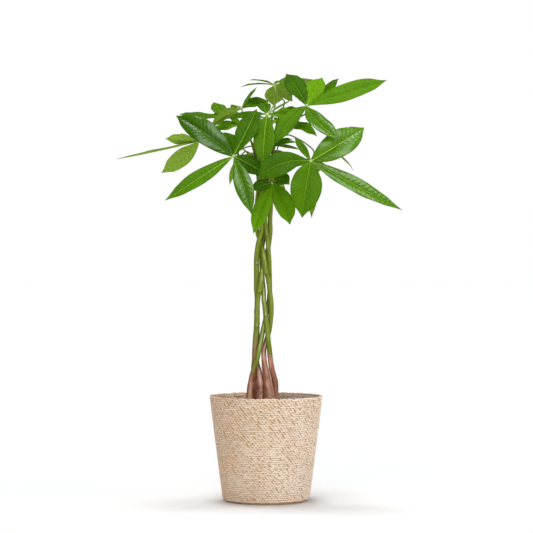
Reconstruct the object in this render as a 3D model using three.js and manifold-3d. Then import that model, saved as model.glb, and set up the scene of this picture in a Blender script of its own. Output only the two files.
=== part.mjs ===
// A potted money tree: five young trunks braided together, with palmate leaves, growing in a plastic nursery
// pot that stands in a lined, tapered basket of coiled rope. Millimetres, +Z up, seen from the front along +Y.
// The origin is the centre of the basket's flat foot.
import * as THREE from "three";
import { mergeVertices } from "three/addons/utils/BufferGeometryUtils.js";
import Module from "manifold-3d";

const wasm = await Module();
wasm.setup();

// ---- Driving dimensions ---------------------------------------------------------------------------------
const GAP = 0.3; // left between pieces that touch

const BASKET = { height: 195, rimRadius: 105, footRadius: 80, wall: 5, floor: 6, corner: 9 };
const COILS = { count: 13, relief: 1.2 }; // rope coils up the wall, drawn wider than the real rope's

const LINER = { wall: 0.8, height: 160 };

const POT = {
  height: 163, rimRadius: 90, footRadius: 68, wall: 1.6,
  rimFlange: 3, rimDepth: 12,
  drainHoles: 8, drainRadius: 5, drainCircle: 48,
};

const SOIL = { depth: 151, mound: 5 };

const TRUNK_SIDES = 8;
const TRUNK_TIP = 3; // the height of the rounded growing tip

const PETIOLE = { sides: 5, baseRadius: 2.2, neckRadius: 1.3, stepLength: 22 };
const HUB_RADIUS = 3.2; // the swollen joint that the leaflets spread from

const BLADE = { thickness: 0.8, rootThickness: 1.9, rootWidth: 2.6, tipWidth: 1.4, fold: 13, wave: 0.05 };
// Where a blade is cut into sections, from its root, 0, to its tip, 1, and how wide it is there.
const BLADE_STATIONS = [0, 0.17, 0.38, 0.6, 0.82, 1];

const COLOURS = {
  rope: 0xd6b893, liner: 0xd9d9d4, pot: 0x2b2b2b, soil: 0x3a2b20, trunk: 0x8f8a4c, leaf: 0x5a9310,
};

// ---- Trunks ---------------------------------------------------------------------------------------------
// Heights of the trunks' sections. Each trunk has [x, y, radius] at each height, chosen by hand so that the
// five cross over and under each other without touching.
const TRUNK_FOOT = 105;
const TRUNK_HEIGHTS = [
  165, 191, 222, 241, 250, 259, 278, 296, 315, 333, 352, 370, 389, 407, 425, 444, 462, 481, 499, 514, 545, 580,
];
const TRUNKS = [
  {
    name: "trunk_1", top: 612, topPlace: [5, -12, 3.0],
    sections: [
      [-32, -6, 7.2], [-30.6, -6, 6.1], [-28, -6, 4.4], [-23.6, -9.5, 3.9], [-20.6, -10.5, 4.1], [-17.4, -11, 4.2],
      [-13, -10, 4.1], [-9.2, -5.5, 4], [-5.7, -1, 4], [-1.7, 3.5, 4], [1.7, 5.5, 4], [5.4, 5.5, 4],
      [6.8, 5, 4], [6.5, 4.5, 3.9], [6.2, -0.5, 3.8], [5.7, -4, 3.6], [4.4, -6, 3.7], [3, -6, 4],
      [-0.2, -4.5, 3.8], [-1.6, -3, 3.5], [1, -6, 3.4], [3, -9, 3.2],
    ],
  },
  {
    name: "trunk_2", top: 655, topPlace: [13, 5, 3.0],
    sections: [
      [-18.6, 13, 6.5], [-18.6, 11, 6], [-18.6, 8, 5], [-23, 5, 4.6], [-22.6, 1, 4.5], [-21.6, -2, 4.5],
      [-20.7, -4, 4.5], [-20, -5, 4.4], [-18.2, -5, 4.7], [-17, -5, 4.8], [-16.8, -5, 4.6], [-16, -5, 4.6],
      [-12.2, -7, 4.6], [-8.9, -7, 4.6], [-7, -1.5, 4.4], [-2, 2.5, 4.2], [3, 4.5, 4], [6, 3.5, 3.9],
      [7.6, 2.5, 4.1], [7.2, 3.5, 3.9], [9, 3, 3.6], [11, 3, 3.4],
    ],
  },
  {
    name: "trunk_3", top: 640, topPlace: [-8, -15, 2.9],
    sections: [
      [-11.5, -9, 7.6], [-10.9, -7.5, 6.6], [-10.6, -4.5, 5.4], [-13.5, 4, 4.4], [-16.2, 8, 4.3], [-17.6, 6.5, 4.2],
      [-18, 5.5, 4.2], [-17.2, 5, 4.4], [-16.8, 5.5, 4.3], [-16.8, 5.5, 4.2], [-16.8, 5.2, 4.2], [-16.5, 5, 4.2],
      [-17.8, 1.5, 4.4], [-17.7, -1, 4.5], [-17.7, -3, 4.6], [-17.7, -4, 4.6], [-16.3, -6, 4.2],
      [-13.1, -8, 3.9], [-8.5, -8, 3.7], [-9.5, -8, 3.6], [-9.5, -8.5, 3.4], [-8, -10, 3.2],
    ],
  },
  {
    name: "trunk_4", top: 645, topPlace: [-17, 3, 2.9],
    sections: [
      [7.5, -12, 10.3], [6.4, -10, 9.7], [2.3, -8, 7], [-1, -8, 5.7], [-2.5, -7, 5], [-3.7, -6, 4.5],
      [-4, -0.5, 4.1], [0.7, 3.8, 4.2], [5.8, 1.2, 4.2], [8.2, -1, 4.1], [9.8, -4, 4], [9, -5, 4],
      [6.3, -5.5, 4], [4.4, -5.5, 4.3], [-0.6, -9.5, 4.5], [-3.3, -10, 4.2], [-5.5, -6.5, 3.5],
      [-12, 4.2, 3.6], [-17, 0, 3.5], [-18, 0, 3.4], [-17.5, 1, 3.3], [-14.5, 2, 3.1],
    ],
  },
  {
    name: "trunk_5", top: 660, topPlace: [-1, 13, 2.8],
    sections: [
      [17, 7, 7], [16.3, 5, 6.1], [15.9, 2, 5.4], [10.9, -1, 4.8], [9.7, -1.5, 4.7], [8.1, -2, 4.5],
      [6.1, -5, 4.3], [4.2, -8.5, 4.2], [2.2, -8.5, 4.2], [-0.1, -8.5, 4.2], [-2, -7.5, 4], [-4.2, -5, 3.9],
      [-4.8, 1, 3.8], [-6.6, 4.5, 3.8], [-7.9, 8.2, 3.7], [-8.5, 9.5, 3.6], [-8.1, 7, 3.5],
      [-5, 9, 3.4], [-6, 7.5, 3.3], [-7, 8, 3.2], [-5, 8, 3.2], [-3, 9, 3],
    ],
  },
];

// ---- Leaves ---------------------------------------------------------------------------------------------
// Each leaf grows from a trunk at a height, and its stalk passes through the points of route to the hub, which
// the leaflets spread from. Facing is the way that the upper side of the whole leaf looks. A leaflet is
// [tip x, tip y, tip z, width, arch, bow, roll, belly, full]: arch lifts the middle of its rib and bow pushes it
// sideways, as shares of its length, roll turns the blade about its rib, in degrees, and belly and full shape its
// outline.
const LEAVES = [
  {
    name: "leaf_a", trunk: 2, height: 630, facing: [-0.15, -0.9, 0.4],
    route: [[-15, -25, 644], [-25, -40, 651], [-37, -62, 648], [-47, -80, 642]], hub: [-59, -95, 630],
    leaflets: [
      [-164, -55, 706, 46, 0.13, 0, 0, 0.95],
      [-17, -72, 717, 39, 0.08, -0.04, 0, 1.2],
      [-6, -82, 600, 34, 0.08],
      [-25, -118, 522, 34, 0.08, 0.02, 0, 1.05, 1.05],
      [-181, -125, 549, 32, 0.06, 0.03, 0, 1.1],
      [-76, -55, 676, 40, 0.06, 0, 0, 0.8],
    ],
  },
  {
    name: "leaf_b", trunk: 0, height: 600, facing: [0.1, -0.93, 0.35],
    route: [[11, -20, 632], [20, -31, 659], [38, -55, 671], [57, -75, 663], [74, -94, 651], [86, -106, 637]],
    hub: [80, -115, 620],
    leaflets: [
      [177, -92, 682, 53, 0.1, -0.04, 0, 1],
      [51, -104, 663, 15, 0.05],
      [-15, -124, 588, 46, 0.07, -0.105, 0, 1.3],
      [64, -138, 518, 58, 0.08, -0.018, 0, 0.98],
      [243, -125, 532, 30, 0.06, -0.028, 0, 0.95],
      [158, -84, 604, 13, 0.25, 0, -72],
    ],
  },
  {
    name: "leaf_c", trunk: 1, height: 638, facing: [0.1, -0.8, 0.6],
    route: [[10, -8, 655], [12, -18, 670], [24, -18, 686], [46, -15, 704], [64, -16, 708], [73, -29, 713]],
    hub: [74, -45, 725],
    leaflets: [
      [221, -30, 773, 42, 0.04, -0.025],
      [131, -142, 656, 37, 0.04, -0.08, 0, 1.2],
      [15, -84, 652, 33, 0.08, -0.04],
      [37, -8, 787, 40, 0.06, 0, 0, 1.2],
      [104, -5, 780, 34, 0.06],
      [135, 25, 782, 18, 0.06, 0, 40],
      [60, 42, 745, 24, 0.08],
    ],
  },
  {
    name: "leaf_d", trunk: 1, height: 650, facing: [0, -0.75, 0.66],
    route: [[16, 10, 680], [23, 8, 708], [33, -2, 730], [32, -18, 738], [22, -36, 735], [12, -50, 722]],
    hub: [2, -60, 708],
    leaflets: [
      [-5, -100, 613, 40, 0.07, -0.015],
      [62, -20, 724, 33, 0.03, -0.16],
      [-8, -20, 732, 25, 0.08],
      [-72, -32, 702, 18, 0.06],
      [47, -42, 736, 5, 0.03],
    ],
  },
  {
    name: "leaf_e", trunk: 2, height: 618, facing: [-0.2, -0.6, 0.75],
    route: [[-18, -14, 645], [-34, -12, 675]], hub: [-48, -5, 694],
    leaflets: [
      [-103, 6, 682, 30, 0.05, 0, 0, 0.9],
      [-66, 4, 708, 13, 0.05],
      [-20, 14, 696, 11, 0.05],
    ],
  },
  {
    name: "leaf_f", trunk: 3, height: 624, facing: [0.05, 0.35, 0.93],
    route: [[-23, -2, 645], [-30, 4, 669], [-38, 13, 700]], hub: [-46, 15, 725],
    leaflets: [
      [4, 72, 744, 31, 0.06, 0, 45],
      [-17, 25, 766, 11, 0.02, 0, 60],
      [-101, -30, 690, 30, 0.06, 0, 38],
      [-66, 60, 730, 18, 0.06],
    ],
  },
  {
    name: "leaf_g", trunk: 4, height: 652, facing: [0, 0.6, 0.8],
    route: [[5, 19, 680], [13, 16, 715], [19, 20, 748]], hub: [16, 30, 770],
    leaflets: [
      [-48, 45, 768, 19, 0.05, 0, -38],
      [-31, 60, 782, 18, 0.05, 0, -38],
      [14, 51, 733, 36, 0.05],
      [109, 36, 772, 34, -0.01],
      [49, 26, 739, 28, 0.06],
      [46, 105, 780, 28, 0.08],
    ],
  },
  {
    name: "leaf_h", trunk: 3, height: 600, facing: [-0.25, 0.05, 0.97],
    route: [[-35, -14, 641], [-65, -35, 660], [-95, -43, 668]], hub: [-122, -40, 661],
    leaflets: [
      [-275, -20, 629, 28, -0.01],
      [-193, -10, 604, 34, 0.1, -0.06, 60, 1.2],
      [-184, -48, 665, 25, 0, 0, 46],
      [-98, 45, 672, 20, 0.04],
      [-128, 52, 678, 24, 0.07],
    ],
  },
  {
    name: "leaf_i", trunk: 3, height: 642, facing: [-0.1, -0.3, 0.95],
    route: [[-28, 14, 664], [-54, 28, 702]], hub: [-81, 30, 713],
    leaflets: [
      [-161, 5, 714, 32, -0.05, 0, -15],
      [-99, 62, 741, 30, 0.02, 0, 0, 0.75, 0.9],
      [-52, 105, 717, 24, 0.07],
      [-122, 82, 709, 24, 0.06],
    ],
  },
  {
    name: "leaf_j", trunk: 1, height: 620, facing: [0.15, -0.6, 0.78],
    route: [[21, -1, 650], [28, -4, 675]], hub: [33, -5, 692],
    leaflets: [
      [93, -45, 669, 34, 0.12, 0, 0, 0.95],
      [46, 25, 700, 16, 0.06],
      [12, -12, 706, 14, 0.06],
    ],
  },
  {
    name: "leaf_k", trunk: 0, height: 588, facing: [0.2, -0.7, 0.7],
    route: [[2, -26, 618], [5, -38, 641]], hub: [9, -45, 653],
    leaflets: [
      [48, -56, 663, 13, 0.08],
      [57, -66, 657, 11, 0.05],
      [62, -56, 644, 10, 0.05],
      [-14, -34, 668, 10, 0.06],
    ],
  },
  {
    name: "leaf_l", trunk: 0, height: 560, facing: [0, -0.9, 0.4],
    route: [[8, -26, 578], [11, -45, 588]], hub: [11, -60, 583],
    leaflets: [
      [-23, -95, 491, 32, 0.07, 0, 0, 1.25],
      [43, -80, 507, 38, 0.07, 0.05],
      [-27, -70, 571, 25, 0.08],
      [42, -84, 579, 28, 0.1, 0.2],
    ],
  },
  {
    name: "leaf_m", trunk: 3, height: 615, facing: [-0.3, 0.75, 0.6],
    route: [[-22, 26, 635], [-38, 62, 648]], hub: [-50, 95, 640],
    leaflets: [
      [-70, 140, 588, 13, 0.08],
      [-50, 176, 578, 26, 0.1],
      [8, 128, 630, 24, 0.08],
      [-50, 172, 700, 30, 0.08],
      [-105, 160, 690, 30, 0.09],
    ],
  },
  {
    name: "leaf_n", trunk: 1, height: 644, facing: [0.3, 0.6, 0.75],
    route: [[27, 25, 646], [50, 55, 636], [75, 85, 633]], hub: [95, 100, 630],
    leaflets: [
      [170, 115, 680, 32, 0.08],
      [87, 125, 525, 24, 0.1, 0.06],
      [92, 192, 612, 34, 0.1],
      [40, 178, 626, 24, 0.06],
    ],
  },
  {
    name: "leaf_o", trunk: 4, height: 638, facing: [0, 0.6, 0.8],
    route: [[0, 30, 668], [3, 55, 695]], hub: [5, 75, 705],
    leaflets: [
      [-60, 125, 700, 26, 0.08],
      [55, 120, 700, 26, 0.08],
      [-5, 185, 688, 30, 0.1],
      [-45, 170, 716, 28, 0.08],
      [60, 170, 735, 28, 0.08],
    ],
  },
  {
    name: "leaf_p", trunk: 4, height: 585, facing: [0, 0.85, 0.5],
    route: [[-2, 30, 600], [0, 55, 612]], hub: [0, 70, 610],
    leaflets: [
      [38, 120, 562, 24, 0.08],
      [5, 165, 560, 34, 0.1],
      [42, 165, 606, 24, 0.06],
      [-14, 148, 577, 22, 0.08],
    ],
  },
];

// ---- Meshes and solids ----------------------------------------------------------------------------------
function finish(colour, roughness) {
  return new THREE.MeshStandardMaterial({ color: colour, roughness, metalness: 0 });
}

function meshOf(name, geometry, material) {
  const mesh = new THREE.Mesh(geometry, material);
  mesh.name = name;
  return mesh;
}

// A closed solid from a geometry, with its shared vertices merged and its empty triangles dropped.
function solidOf(geometry) {
  const bare = new THREE.BufferGeometry();
  bare.setAttribute("position", geometry.getAttribute("position"));
  if (geometry.index) bare.setIndex(geometry.index);
  const merged = mergeVertices(bare, 1e-4);
  const corners = merged.index.array;
  const kept = [];
  for (let i = 0; i < corners.length; i += 3) {
    const [a, b, c] = [corners[i], corners[i + 1], corners[i + 2]];
    if (a !== b && b !== c && c !== a) kept.push(a, b, c);
  }
  return new wasm.Manifold(new wasm.Mesh({
    numProp: 3,
    vertProperties: new Float32Array(merged.getAttribute("position").array),
    triVerts: new Uint32Array(kept),
  }));
}

// The solid's main body, with any sealed hollow filled and any loose scrap dropped.
function mainBody(solid) {
  return solid.decompose().reduce((best, each) => (each.volume() > best.volume() ? each : best));
}

function geometryOf(solid) {
  const { vertProperties, triVerts } = solid.getMesh();
  const geometry = new THREE.BufferGeometry();
  geometry.setAttribute("position", new THREE.BufferAttribute(new Float32Array(vertProperties), 3));
  geometry.setIndex(new THREE.BufferAttribute(new Uint32Array(triVerts), 1));
  geometry.computeVertexNormals();
  return geometry;
}

// A closed skin over rings of points. Each ring runs anticlockwise seen from the end, and the sides listed in
// crossed are split along their other diagonal.
function loft(rings, crossed = []) {
  const count = rings[0].length;
  const last = (rings.length - 1) * count;
  const faces = [];
  for (let i = 0; i + 1 < rings.length; i++) {
    for (let j = 0; j < count; j++) {
      const next = (j + 1) % count;
      const [a, b] = [i * count + j, i * count + next];
      const [d, c] = [a + count, b + count];
      if (crossed.includes(j)) faces.push(a, b, d, b, c, d);
      else faces.push(a, b, c, a, c, d);
    }
  }
  for (let j = 1; j + 1 < count; j++) {
    faces.push(0, j + 1, j, last, last + j, last + j + 1);
  }
  const geometry = new THREE.BufferGeometry().setFromPoints(rings.flat());
  geometry.setIndex(faces);
  return geometry;
}

// A turned shape: profile is [radius, height] pairs, from the axis or closed on itself, turned about Z.
function turned(profile, segments) {
  const points = profile.map(([radius, height]) => new THREE.Vector2(radius, height));
  return new THREE.LatheGeometry(points, segments).rotateX(Math.PI / 2);
}

// ---- Basket, liner, pot and soil ------------------------------------------------------------------------
const lerp = THREE.MathUtils.lerp;

function basketRadius(height) {
  return lerp(BASKET.footRadius, BASKET.rimRadius, height / BASKET.height);
}

function basket() {
  const { height, wall, floor, corner } = BASKET;
  const foot = basketRadius(0) - corner;
  const profile = [[0, 0], [foot, 0], [foot + corner * 0.75, corner * 0.3]];
  const pitch = (height - corner) / COILS.count;
  for (let coil = 0; coil < COILS.count; coil++) {
    const groove = corner + coil * pitch;
    profile.push([basketRadius(groove) - COILS.relief, groove]);
    profile.push([basketRadius(groove + pitch / 2), groove + pitch / 2]);
  }
  profile.push([basketRadius(height) - 1.5, height], [basketRadius(height) - wall + 1, height]);
  profile.push([basketRadius(height) - wall, height - 2], [basketRadius(floor + 4) - wall, floor + 4]);
  profile.push([basketRadius(floor) - wall - 4, floor], [0, floor]);
  return turned(profile, 40);
}

function liner() {
  const bottom = BASKET.floor + GAP;
  const top = bottom + LINER.height;
  const outer = (height) => basketRadius(height) - BASKET.wall - GAP - 0.2;
  const corner = 4;
  return turned([
    [0, bottom], [outer(bottom) - corner - 1, bottom], [outer(bottom + corner) - 1, bottom + corner],
    [outer(top), top], [outer(top) - LINER.wall, top],
    [outer(bottom + corner) - 1 - LINER.wall, bottom + corner], [outer(bottom) - corner - 1, bottom + LINER.wall],
    [0, bottom + LINER.wall],
  ], 32);
}

const potBottom = BASKET.floor + GAP + LINER.wall + GAP;

function potRadius(height) {
  return lerp(POT.footRadius, POT.rimRadius, height / POT.height);
}

function pot() {
  const { height, wall, rimFlange, rimDepth } = POT;
  const shelf = height - rimDepth;
  const profile = [
    [0, 0], [potRadius(0), 0], [potRadius(shelf), shelf], [potRadius(shelf) + rimFlange, shelf],
    [potRadius(height) + rimFlange, height], [potRadius(height) + rimFlange - wall, height],
    [potRadius(shelf) + rimFlange - wall, shelf + wall], [potRadius(shelf) - wall, shelf + wall],
    [potRadius(wall) - wall, wall], [0, wall],
  ];
  let body = solidOf(turned(profile, 40));
  for (let hole = 0; hole < POT.drainHoles; hole++) {
    const angle = (hole / POT.drainHoles) * 2 * Math.PI;
    const drill = new THREE.CylinderGeometry(POT.drainRadius, POT.drainRadius, 4 * wall, 10).rotateX(Math.PI / 2);
    drill.translate(POT.drainCircle * Math.cos(angle), POT.drainCircle * Math.sin(angle), 0);
    body = body.subtract(solidOf(drill));
  }
  return geometryOf(body).translate(0, 0, potBottom);
}

function soil(trunks) {
  const bottom = potBottom + POT.wall + GAP;
  const inner = (height) => potRadius(height - potBottom) - POT.wall - GAP - 0.2;
  const top = potBottom + SOIL.depth;
  const body = solidOf(turned([
    [0, bottom], [inner(bottom), bottom], [inner(top - 4), top - 4], [inner(top - 4) - 4, top - 1],
    [60, top + 1], [32, top + SOIL.mound - 1], [0, top + SOIL.mound],
  ], 36));
  return geometryOf(trunks.reduce((left, trunk) => left.subtract(trunkSolid(trunk, GAP + 0.1)), body));
}

// ---- Trunks ---------------------------------------------------------------------------------------------
// The places of a trunk's sections from its foot in the soil to its tip, as [x, y, z, radius].
function trunkPlaces(trunk) {
  const [footX, footY, footRadius] = trunk.sections[0];
  const [topX, topY, topRadius] = trunk.topPlace;
  return [
    [footX, footY, TRUNK_FOOT, footRadius * 0.8],
    [footX, footY, TRUNK_FOOT + 6, footRadius],
    ...trunk.sections.map(([x, y, radius], i) => [x, y, TRUNK_HEIGHTS[i], radius]),
    [topX, topY, trunk.top - TRUNK_TIP, topRadius],
    [topX, topY, trunk.top, topRadius * 0.45],
  ];
}

function trunkRings(trunk, clearance) {
  const places = trunkPlaces(trunk);
  const last = places.length - 1;
  return places.map(([x, y, z, radius], i) => {
    const end = i === 0 ? -clearance : i === last ? clearance : 0;
    return Array.from({ length: TRUNK_SIDES }, (_, side) => {
      const angle = (side / TRUNK_SIDES) * 2 * Math.PI;
      const reach = radius + clearance;
      return new THREE.Vector3(x + reach * Math.cos(angle), y + reach * Math.sin(angle), z + end);
    });
  });
}

function trunkSolid(trunk, clearance = 0) {
  return solidOf(loft(trunkRings(trunk, clearance)));
}

function trunkCentre(trunk, height) {
  const places = trunkPlaces(trunk);
  const above = places.findIndex(([, , z]) => z >= height);
  const [x0, y0, z0] = places[above - 1];
  const [x1, y1, z1] = places[above];
  const share = (height - z0) / (z1 - z0);
  return new THREE.Vector3(lerp(x0, x1, share), lerp(y0, y1, share), height);
}

// ---- Leaves ---------------------------------------------------------------------------------------------
// A leaflet's half width along its length, as a share of its widest: a slim root, widest past the middle if
// belly is over 1, fuller if full is low, and a drawn-out tip.
function bladeWidth(along, belly, full) {
  const body = Math.sin(Math.PI * Math.pow(along, belly)) ** full;
  return body * (1 - 0.45 * THREE.MathUtils.smoothstep(along, 0.8, 1));
}

function leaflet(hub, facing, [x, y, z, width, arch, bow = 0, roll = 0, belly = 1.12, full = 0.8]) {
  const tip = new THREE.Vector3(x, y, z);
  const length = tip.distanceTo(hub);
  const chord = tip.clone().sub(hub).normalize();
  const upper = facing.clone().projectOnPlane(chord).normalize();
  upper.applyAxisAngle(chord, THREE.MathUtils.degToRad(roll));
  const sideways = upper.clone().cross(chord);
  const middle = hub.clone().lerp(tip, 0.5);
  middle.addScaledVector(upper, 2 * arch * length).addScaledVector(sideways, 2 * bow * length);
  const rib = new THREE.QuadraticBezierCurve3(hub, middle, tip);
  const fold = THREE.MathUtils.degToRad(BLADE.fold);
  const rings = BLADE_STATIONS.map((along, station) => {
    const centre = rib.getPoint(along);
    const forward = rib.getTangent(along);
    const side = upper.clone().cross(forward).normalize();
    const up = forward.clone().cross(side);
    const atEnd = station === 0 || station === BLADE_STATIONS.length - 1;
    const endWidth = station === 0 ? BLADE.rootWidth : BLADE.tipWidth;
    const half = (atEnd ? endWidth : width * bladeWidth(along, belly, full)) / 2;
    const thick = (station === 0 ? BLADE.rootThickness : BLADE.thickness) / 2;
    const wave = atEnd ? 0 : (station % 2 ? 1 : -1) * BLADE.wave * width;
    const point = (across, rise) => centre.clone().addScaledVector(side, across).addScaledVector(up, rise);
    const lift = atEnd ? 0 : half * Math.sin(fold);
    const reach = atEnd ? half : half * Math.cos(fold);
    return [
      point(reach, lift + wave - thick), point(reach, lift + wave + thick), point(0, thick),
      point(-reach, lift - wave + thick), point(-reach, lift - wave - thick), point(0, -thick),
    ];
  });
  return solidOf(loft(rings, [4, 5]));
}

function petiole(points) {
  const curve = new THREE.CatmullRomCurve3(points, false, "centripetal");
  const steps = Math.max(5, Math.round(curve.getLength() / PETIOLE.stepLength));
  const frames = curve.computeFrenetFrames(steps);
  const rings = Array.from({ length: steps + 1 }, (_, i) => {
    const centre = curve.getPointAt(i / steps);
    const radius = lerp(PETIOLE.baseRadius, PETIOLE.neckRadius, Math.min(1, (3 * i) / steps));
    return Array.from({ length: PETIOLE.sides }, (_, side) => {
      const angle = (side / PETIOLE.sides) * 2 * Math.PI;
      return centre.clone()
        .addScaledVector(frames.normals[i], radius * Math.cos(angle))
        .addScaledVector(frames.binormals[i], radius * Math.sin(angle));
    });
  });
  return solidOf(loft(rings));
}

// A whole leaf: its stalk, its hub and its leaflets in one body, cut back to stand clear of its trunk.
function leaf({ trunk, height, facing, route, hub, leaflets }) {
  const centre = new THREE.Vector3(...hub);
  const upper = new THREE.Vector3(...facing).normalize();
  const start = trunkCentre(TRUNKS[trunk], height);
  const stalk = petiole([start, ...route.map((place) => new THREE.Vector3(...place)), centre]);
  const ball = new THREE.OctahedronGeometry(HUB_RADIUS, 1).translate(...hub);
  let body = stalk.add(solidOf(ball));
  for (const each of leaflets) body = body.add(leaflet(centre, upper, each));
  return geometryOf(mainBody(body.subtract(trunkSolid(TRUNKS[trunk], GAP))));
}

// ---- The potted plant -----------------------------------------------------------------------------------
const ropeFinish = finish(COLOURS.rope, 0.85);
const linerFinish = finish(COLOURS.liner, 0.4);
const potFinish = finish(COLOURS.pot, 0.55);
const soilFinish = finish(COLOURS.soil, 0.95);
const trunkFinish = finish(COLOURS.trunk, 0.7);
const leafFinish = finish(COLOURS.leaf, 0.45);

const holder = new THREE.Group();
holder.add(meshOf("basket", basket(), ropeFinish));
holder.add(meshOf("liner", liner(), linerFinish));
holder.add(meshOf("nursery_pot", pot(), potFinish));
holder.add(meshOf("soil", soil(TRUNKS), soilFinish));

const plant = new THREE.Group();
for (const trunk of TRUNKS) plant.add(meshOf(trunk.name, geometryOf(trunkSolid(trunk)), trunkFinish));
for (const each of LEAVES) plant.add(meshOf(each.name, leaf(each), leafFinish));

const moneyTree = new THREE.Group();
moneyTree.name = "potted_money_tree";
moneyTree.add(holder, plant);

export default moneyTree;
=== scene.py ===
"""A potted money tree: five young trunks braided together, with palmate leaves, in a nursery pot that stands
in a lined basket of twisted plant-fibre rope. Metres, +Z up, seen from the front along +Y."""

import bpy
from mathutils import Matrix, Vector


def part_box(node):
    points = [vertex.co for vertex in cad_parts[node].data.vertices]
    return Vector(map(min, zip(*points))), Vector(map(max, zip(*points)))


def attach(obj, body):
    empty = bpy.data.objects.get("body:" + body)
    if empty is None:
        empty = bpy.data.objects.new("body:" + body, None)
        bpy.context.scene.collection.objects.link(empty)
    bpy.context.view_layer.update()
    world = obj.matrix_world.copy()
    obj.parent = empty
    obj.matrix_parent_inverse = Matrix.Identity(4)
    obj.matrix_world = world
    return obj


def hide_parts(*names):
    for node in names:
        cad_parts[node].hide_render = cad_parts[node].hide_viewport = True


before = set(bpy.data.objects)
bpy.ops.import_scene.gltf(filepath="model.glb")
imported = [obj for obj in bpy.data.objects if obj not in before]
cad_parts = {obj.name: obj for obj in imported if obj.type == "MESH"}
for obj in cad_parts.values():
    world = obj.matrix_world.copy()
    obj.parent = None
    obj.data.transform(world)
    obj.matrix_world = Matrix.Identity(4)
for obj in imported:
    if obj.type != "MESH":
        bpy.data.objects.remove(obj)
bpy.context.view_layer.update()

import math
import random

import bpy
import numpy as np
from bpy.props import FloatProperty, FloatVectorProperty, PointerProperty
from mathutils import Vector, noise

bl_info = {
    "name": "Potted money tree",
    "version": (1, 0, 0),
    "blender": (4, 5, 0),
    "location": "View3D > Sidebar > Money tree",
    "description": "Makes a braided money tree in a woven basket, around its packed solids",
    "category": "Add Mesh",
}

MM = 0.001
BODY = "root"
TURN = 6.28  # a whole turn in radians, near enough for random angles and waves


def srgb(hex_colour):
    """An sRGB hex colour as linear red, green, blue and alpha."""
    parts = [int(hex_colour[i:i + 2], 16) / 255 for i in (1, 3, 5)]
    return (*(c / 12.92 if c <= 0.04045 else ((c + 0.055) / 1.055) ** 2.4 for c in parts), 1.0)


def length_setting(name, description, millimetres):
    """A length that the sidebar shows, with its default given in millimetres."""
    return FloatProperty(name=name, description=description, default=millimetres * MM, min=0.0, unit="LENGTH")


def colour_setting(name, description, hex_colour):
    """A colour that the sidebar shows, with its default given in sRGB hex."""
    return FloatVectorProperty(
        name=name, description=description, default=srgb(hex_colour)[:3], min=0.0, max=1.0, subtype="COLOR")


# ---- Settings --------------------------------------------------------------------------------------------
class BasketSettings(bpy.types.PropertyGroup):
    """Sizes and colours of the rope basket."""
    height: FloatProperty(
        name="Height", description="From the foot to the top of the rim",
        default=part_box("basket")[1].z, unit="LENGTH")
    rim_radius: length_setting("Rim radius", "Outside radius at the rim", 105)
    foot_radius: length_setting("Foot radius", "Radius that the wall slopes in to at the floor", 80)
    corner: length_setting("Corner", "Height of the rounded corner between wall and foot", 9)
    wall: length_setting("Wall", "Thickness of the woven wall", 5)
    floor: length_setting("Floor", "Thickness of the foot", 6)
    row_pitch: length_setting("Row pitch", "Rise of the rope from one turn to the next", 3.9)
    strand_length: length_setting("Strand length", "Length of one visible twist of the rope", 9.2)
    strand_width: length_setting("Strand width", "Width of one visible twist of the rope", 3.7)
    strand_depth: length_setting("Strand depth", "Thickness of one visible twist of the rope", 3.2)
    pale: colour_setting("Pale strand", "Colour of the palest strands", "#fdf0e1")
    mid: colour_setting("Middle strand", "Colour of most strands", "#f7e3cd")
    brown: colour_setting("Brown strand", "Colour of the brownest strands", "#e9c6a0")
    # The gap colour is painted shade: it darkens the strands where they tuck under each other, and the shaded
    # rope core.
    gap: colour_setting("Gap", "Colour between the strands", "#94683f")


class PotSettings(bpy.types.PropertyGroup):
    """Sizes and colours of the liner, the nursery pot and the soil."""
    liner_top: length_setting("Liner top", "Height of the liner's edge above the floor", 166.3)
    pot_bottom: length_setting("Pot bottom", "Height of the pot's foot above the floor", 7.4)
    pot_height: length_setting("Pot height", "From the pot's foot to its rim", 163)
    pot_rim: length_setting("Pot rim radius", "Radius of the pot below its rim flange", 90)
    pot_foot: length_setting("Pot foot radius", "Radius of the pot's foot", 68)
    pot_wall: length_setting("Pot wall", "Thickness of the pot's wall", 1.6)
    flange: length_setting("Rim flange", "How far the pot's rim steps out", 3)
    flange_depth: length_setting("Rim flange depth", "Height of the pot's rim band", 12)
    soil_depth: length_setting("Soil depth", "Height of the soil's edge above the pot's foot", 151)
    film: colour_setting("Liner", "Colour of the plastic film", "#d9d9d2")
    plastic: colour_setting("Pot", "Colour of the nursery pot", "#2b2b2a")
    peat: colour_setting("Soil", "Colour of the potting mix", "#33241a")
    chip: colour_setting("Bark chips", "Colour of the bark chips in the mix", "#6b4630")


class TrunkSettings(bpy.types.PropertyGroup):
    """Sizes and colours of the braided trunks."""
    ring_step: length_setting("Ring step", "Height between two rings of the mesh", 1.6)
    wrinkle: length_setting("Wrinkle", "Depth of the wrinkles in the old bark", 0.35)
    bark: length_setting("Bark", "How far the bark stands proud of the trunk's core", 0.45)
    green: colour_setting("Green bark", "Colour of the young bark", "#78881a")
    olive: colour_setting("Olive bark", "Colour of the bark that is turning", "#8a6f2e")
    brown: colour_setting("Brown bark", "Colour of the corky foot", "#a5684a")
    scar: colour_setting("Scar", "Colour of scars and cracks", "#54301f")


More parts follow.
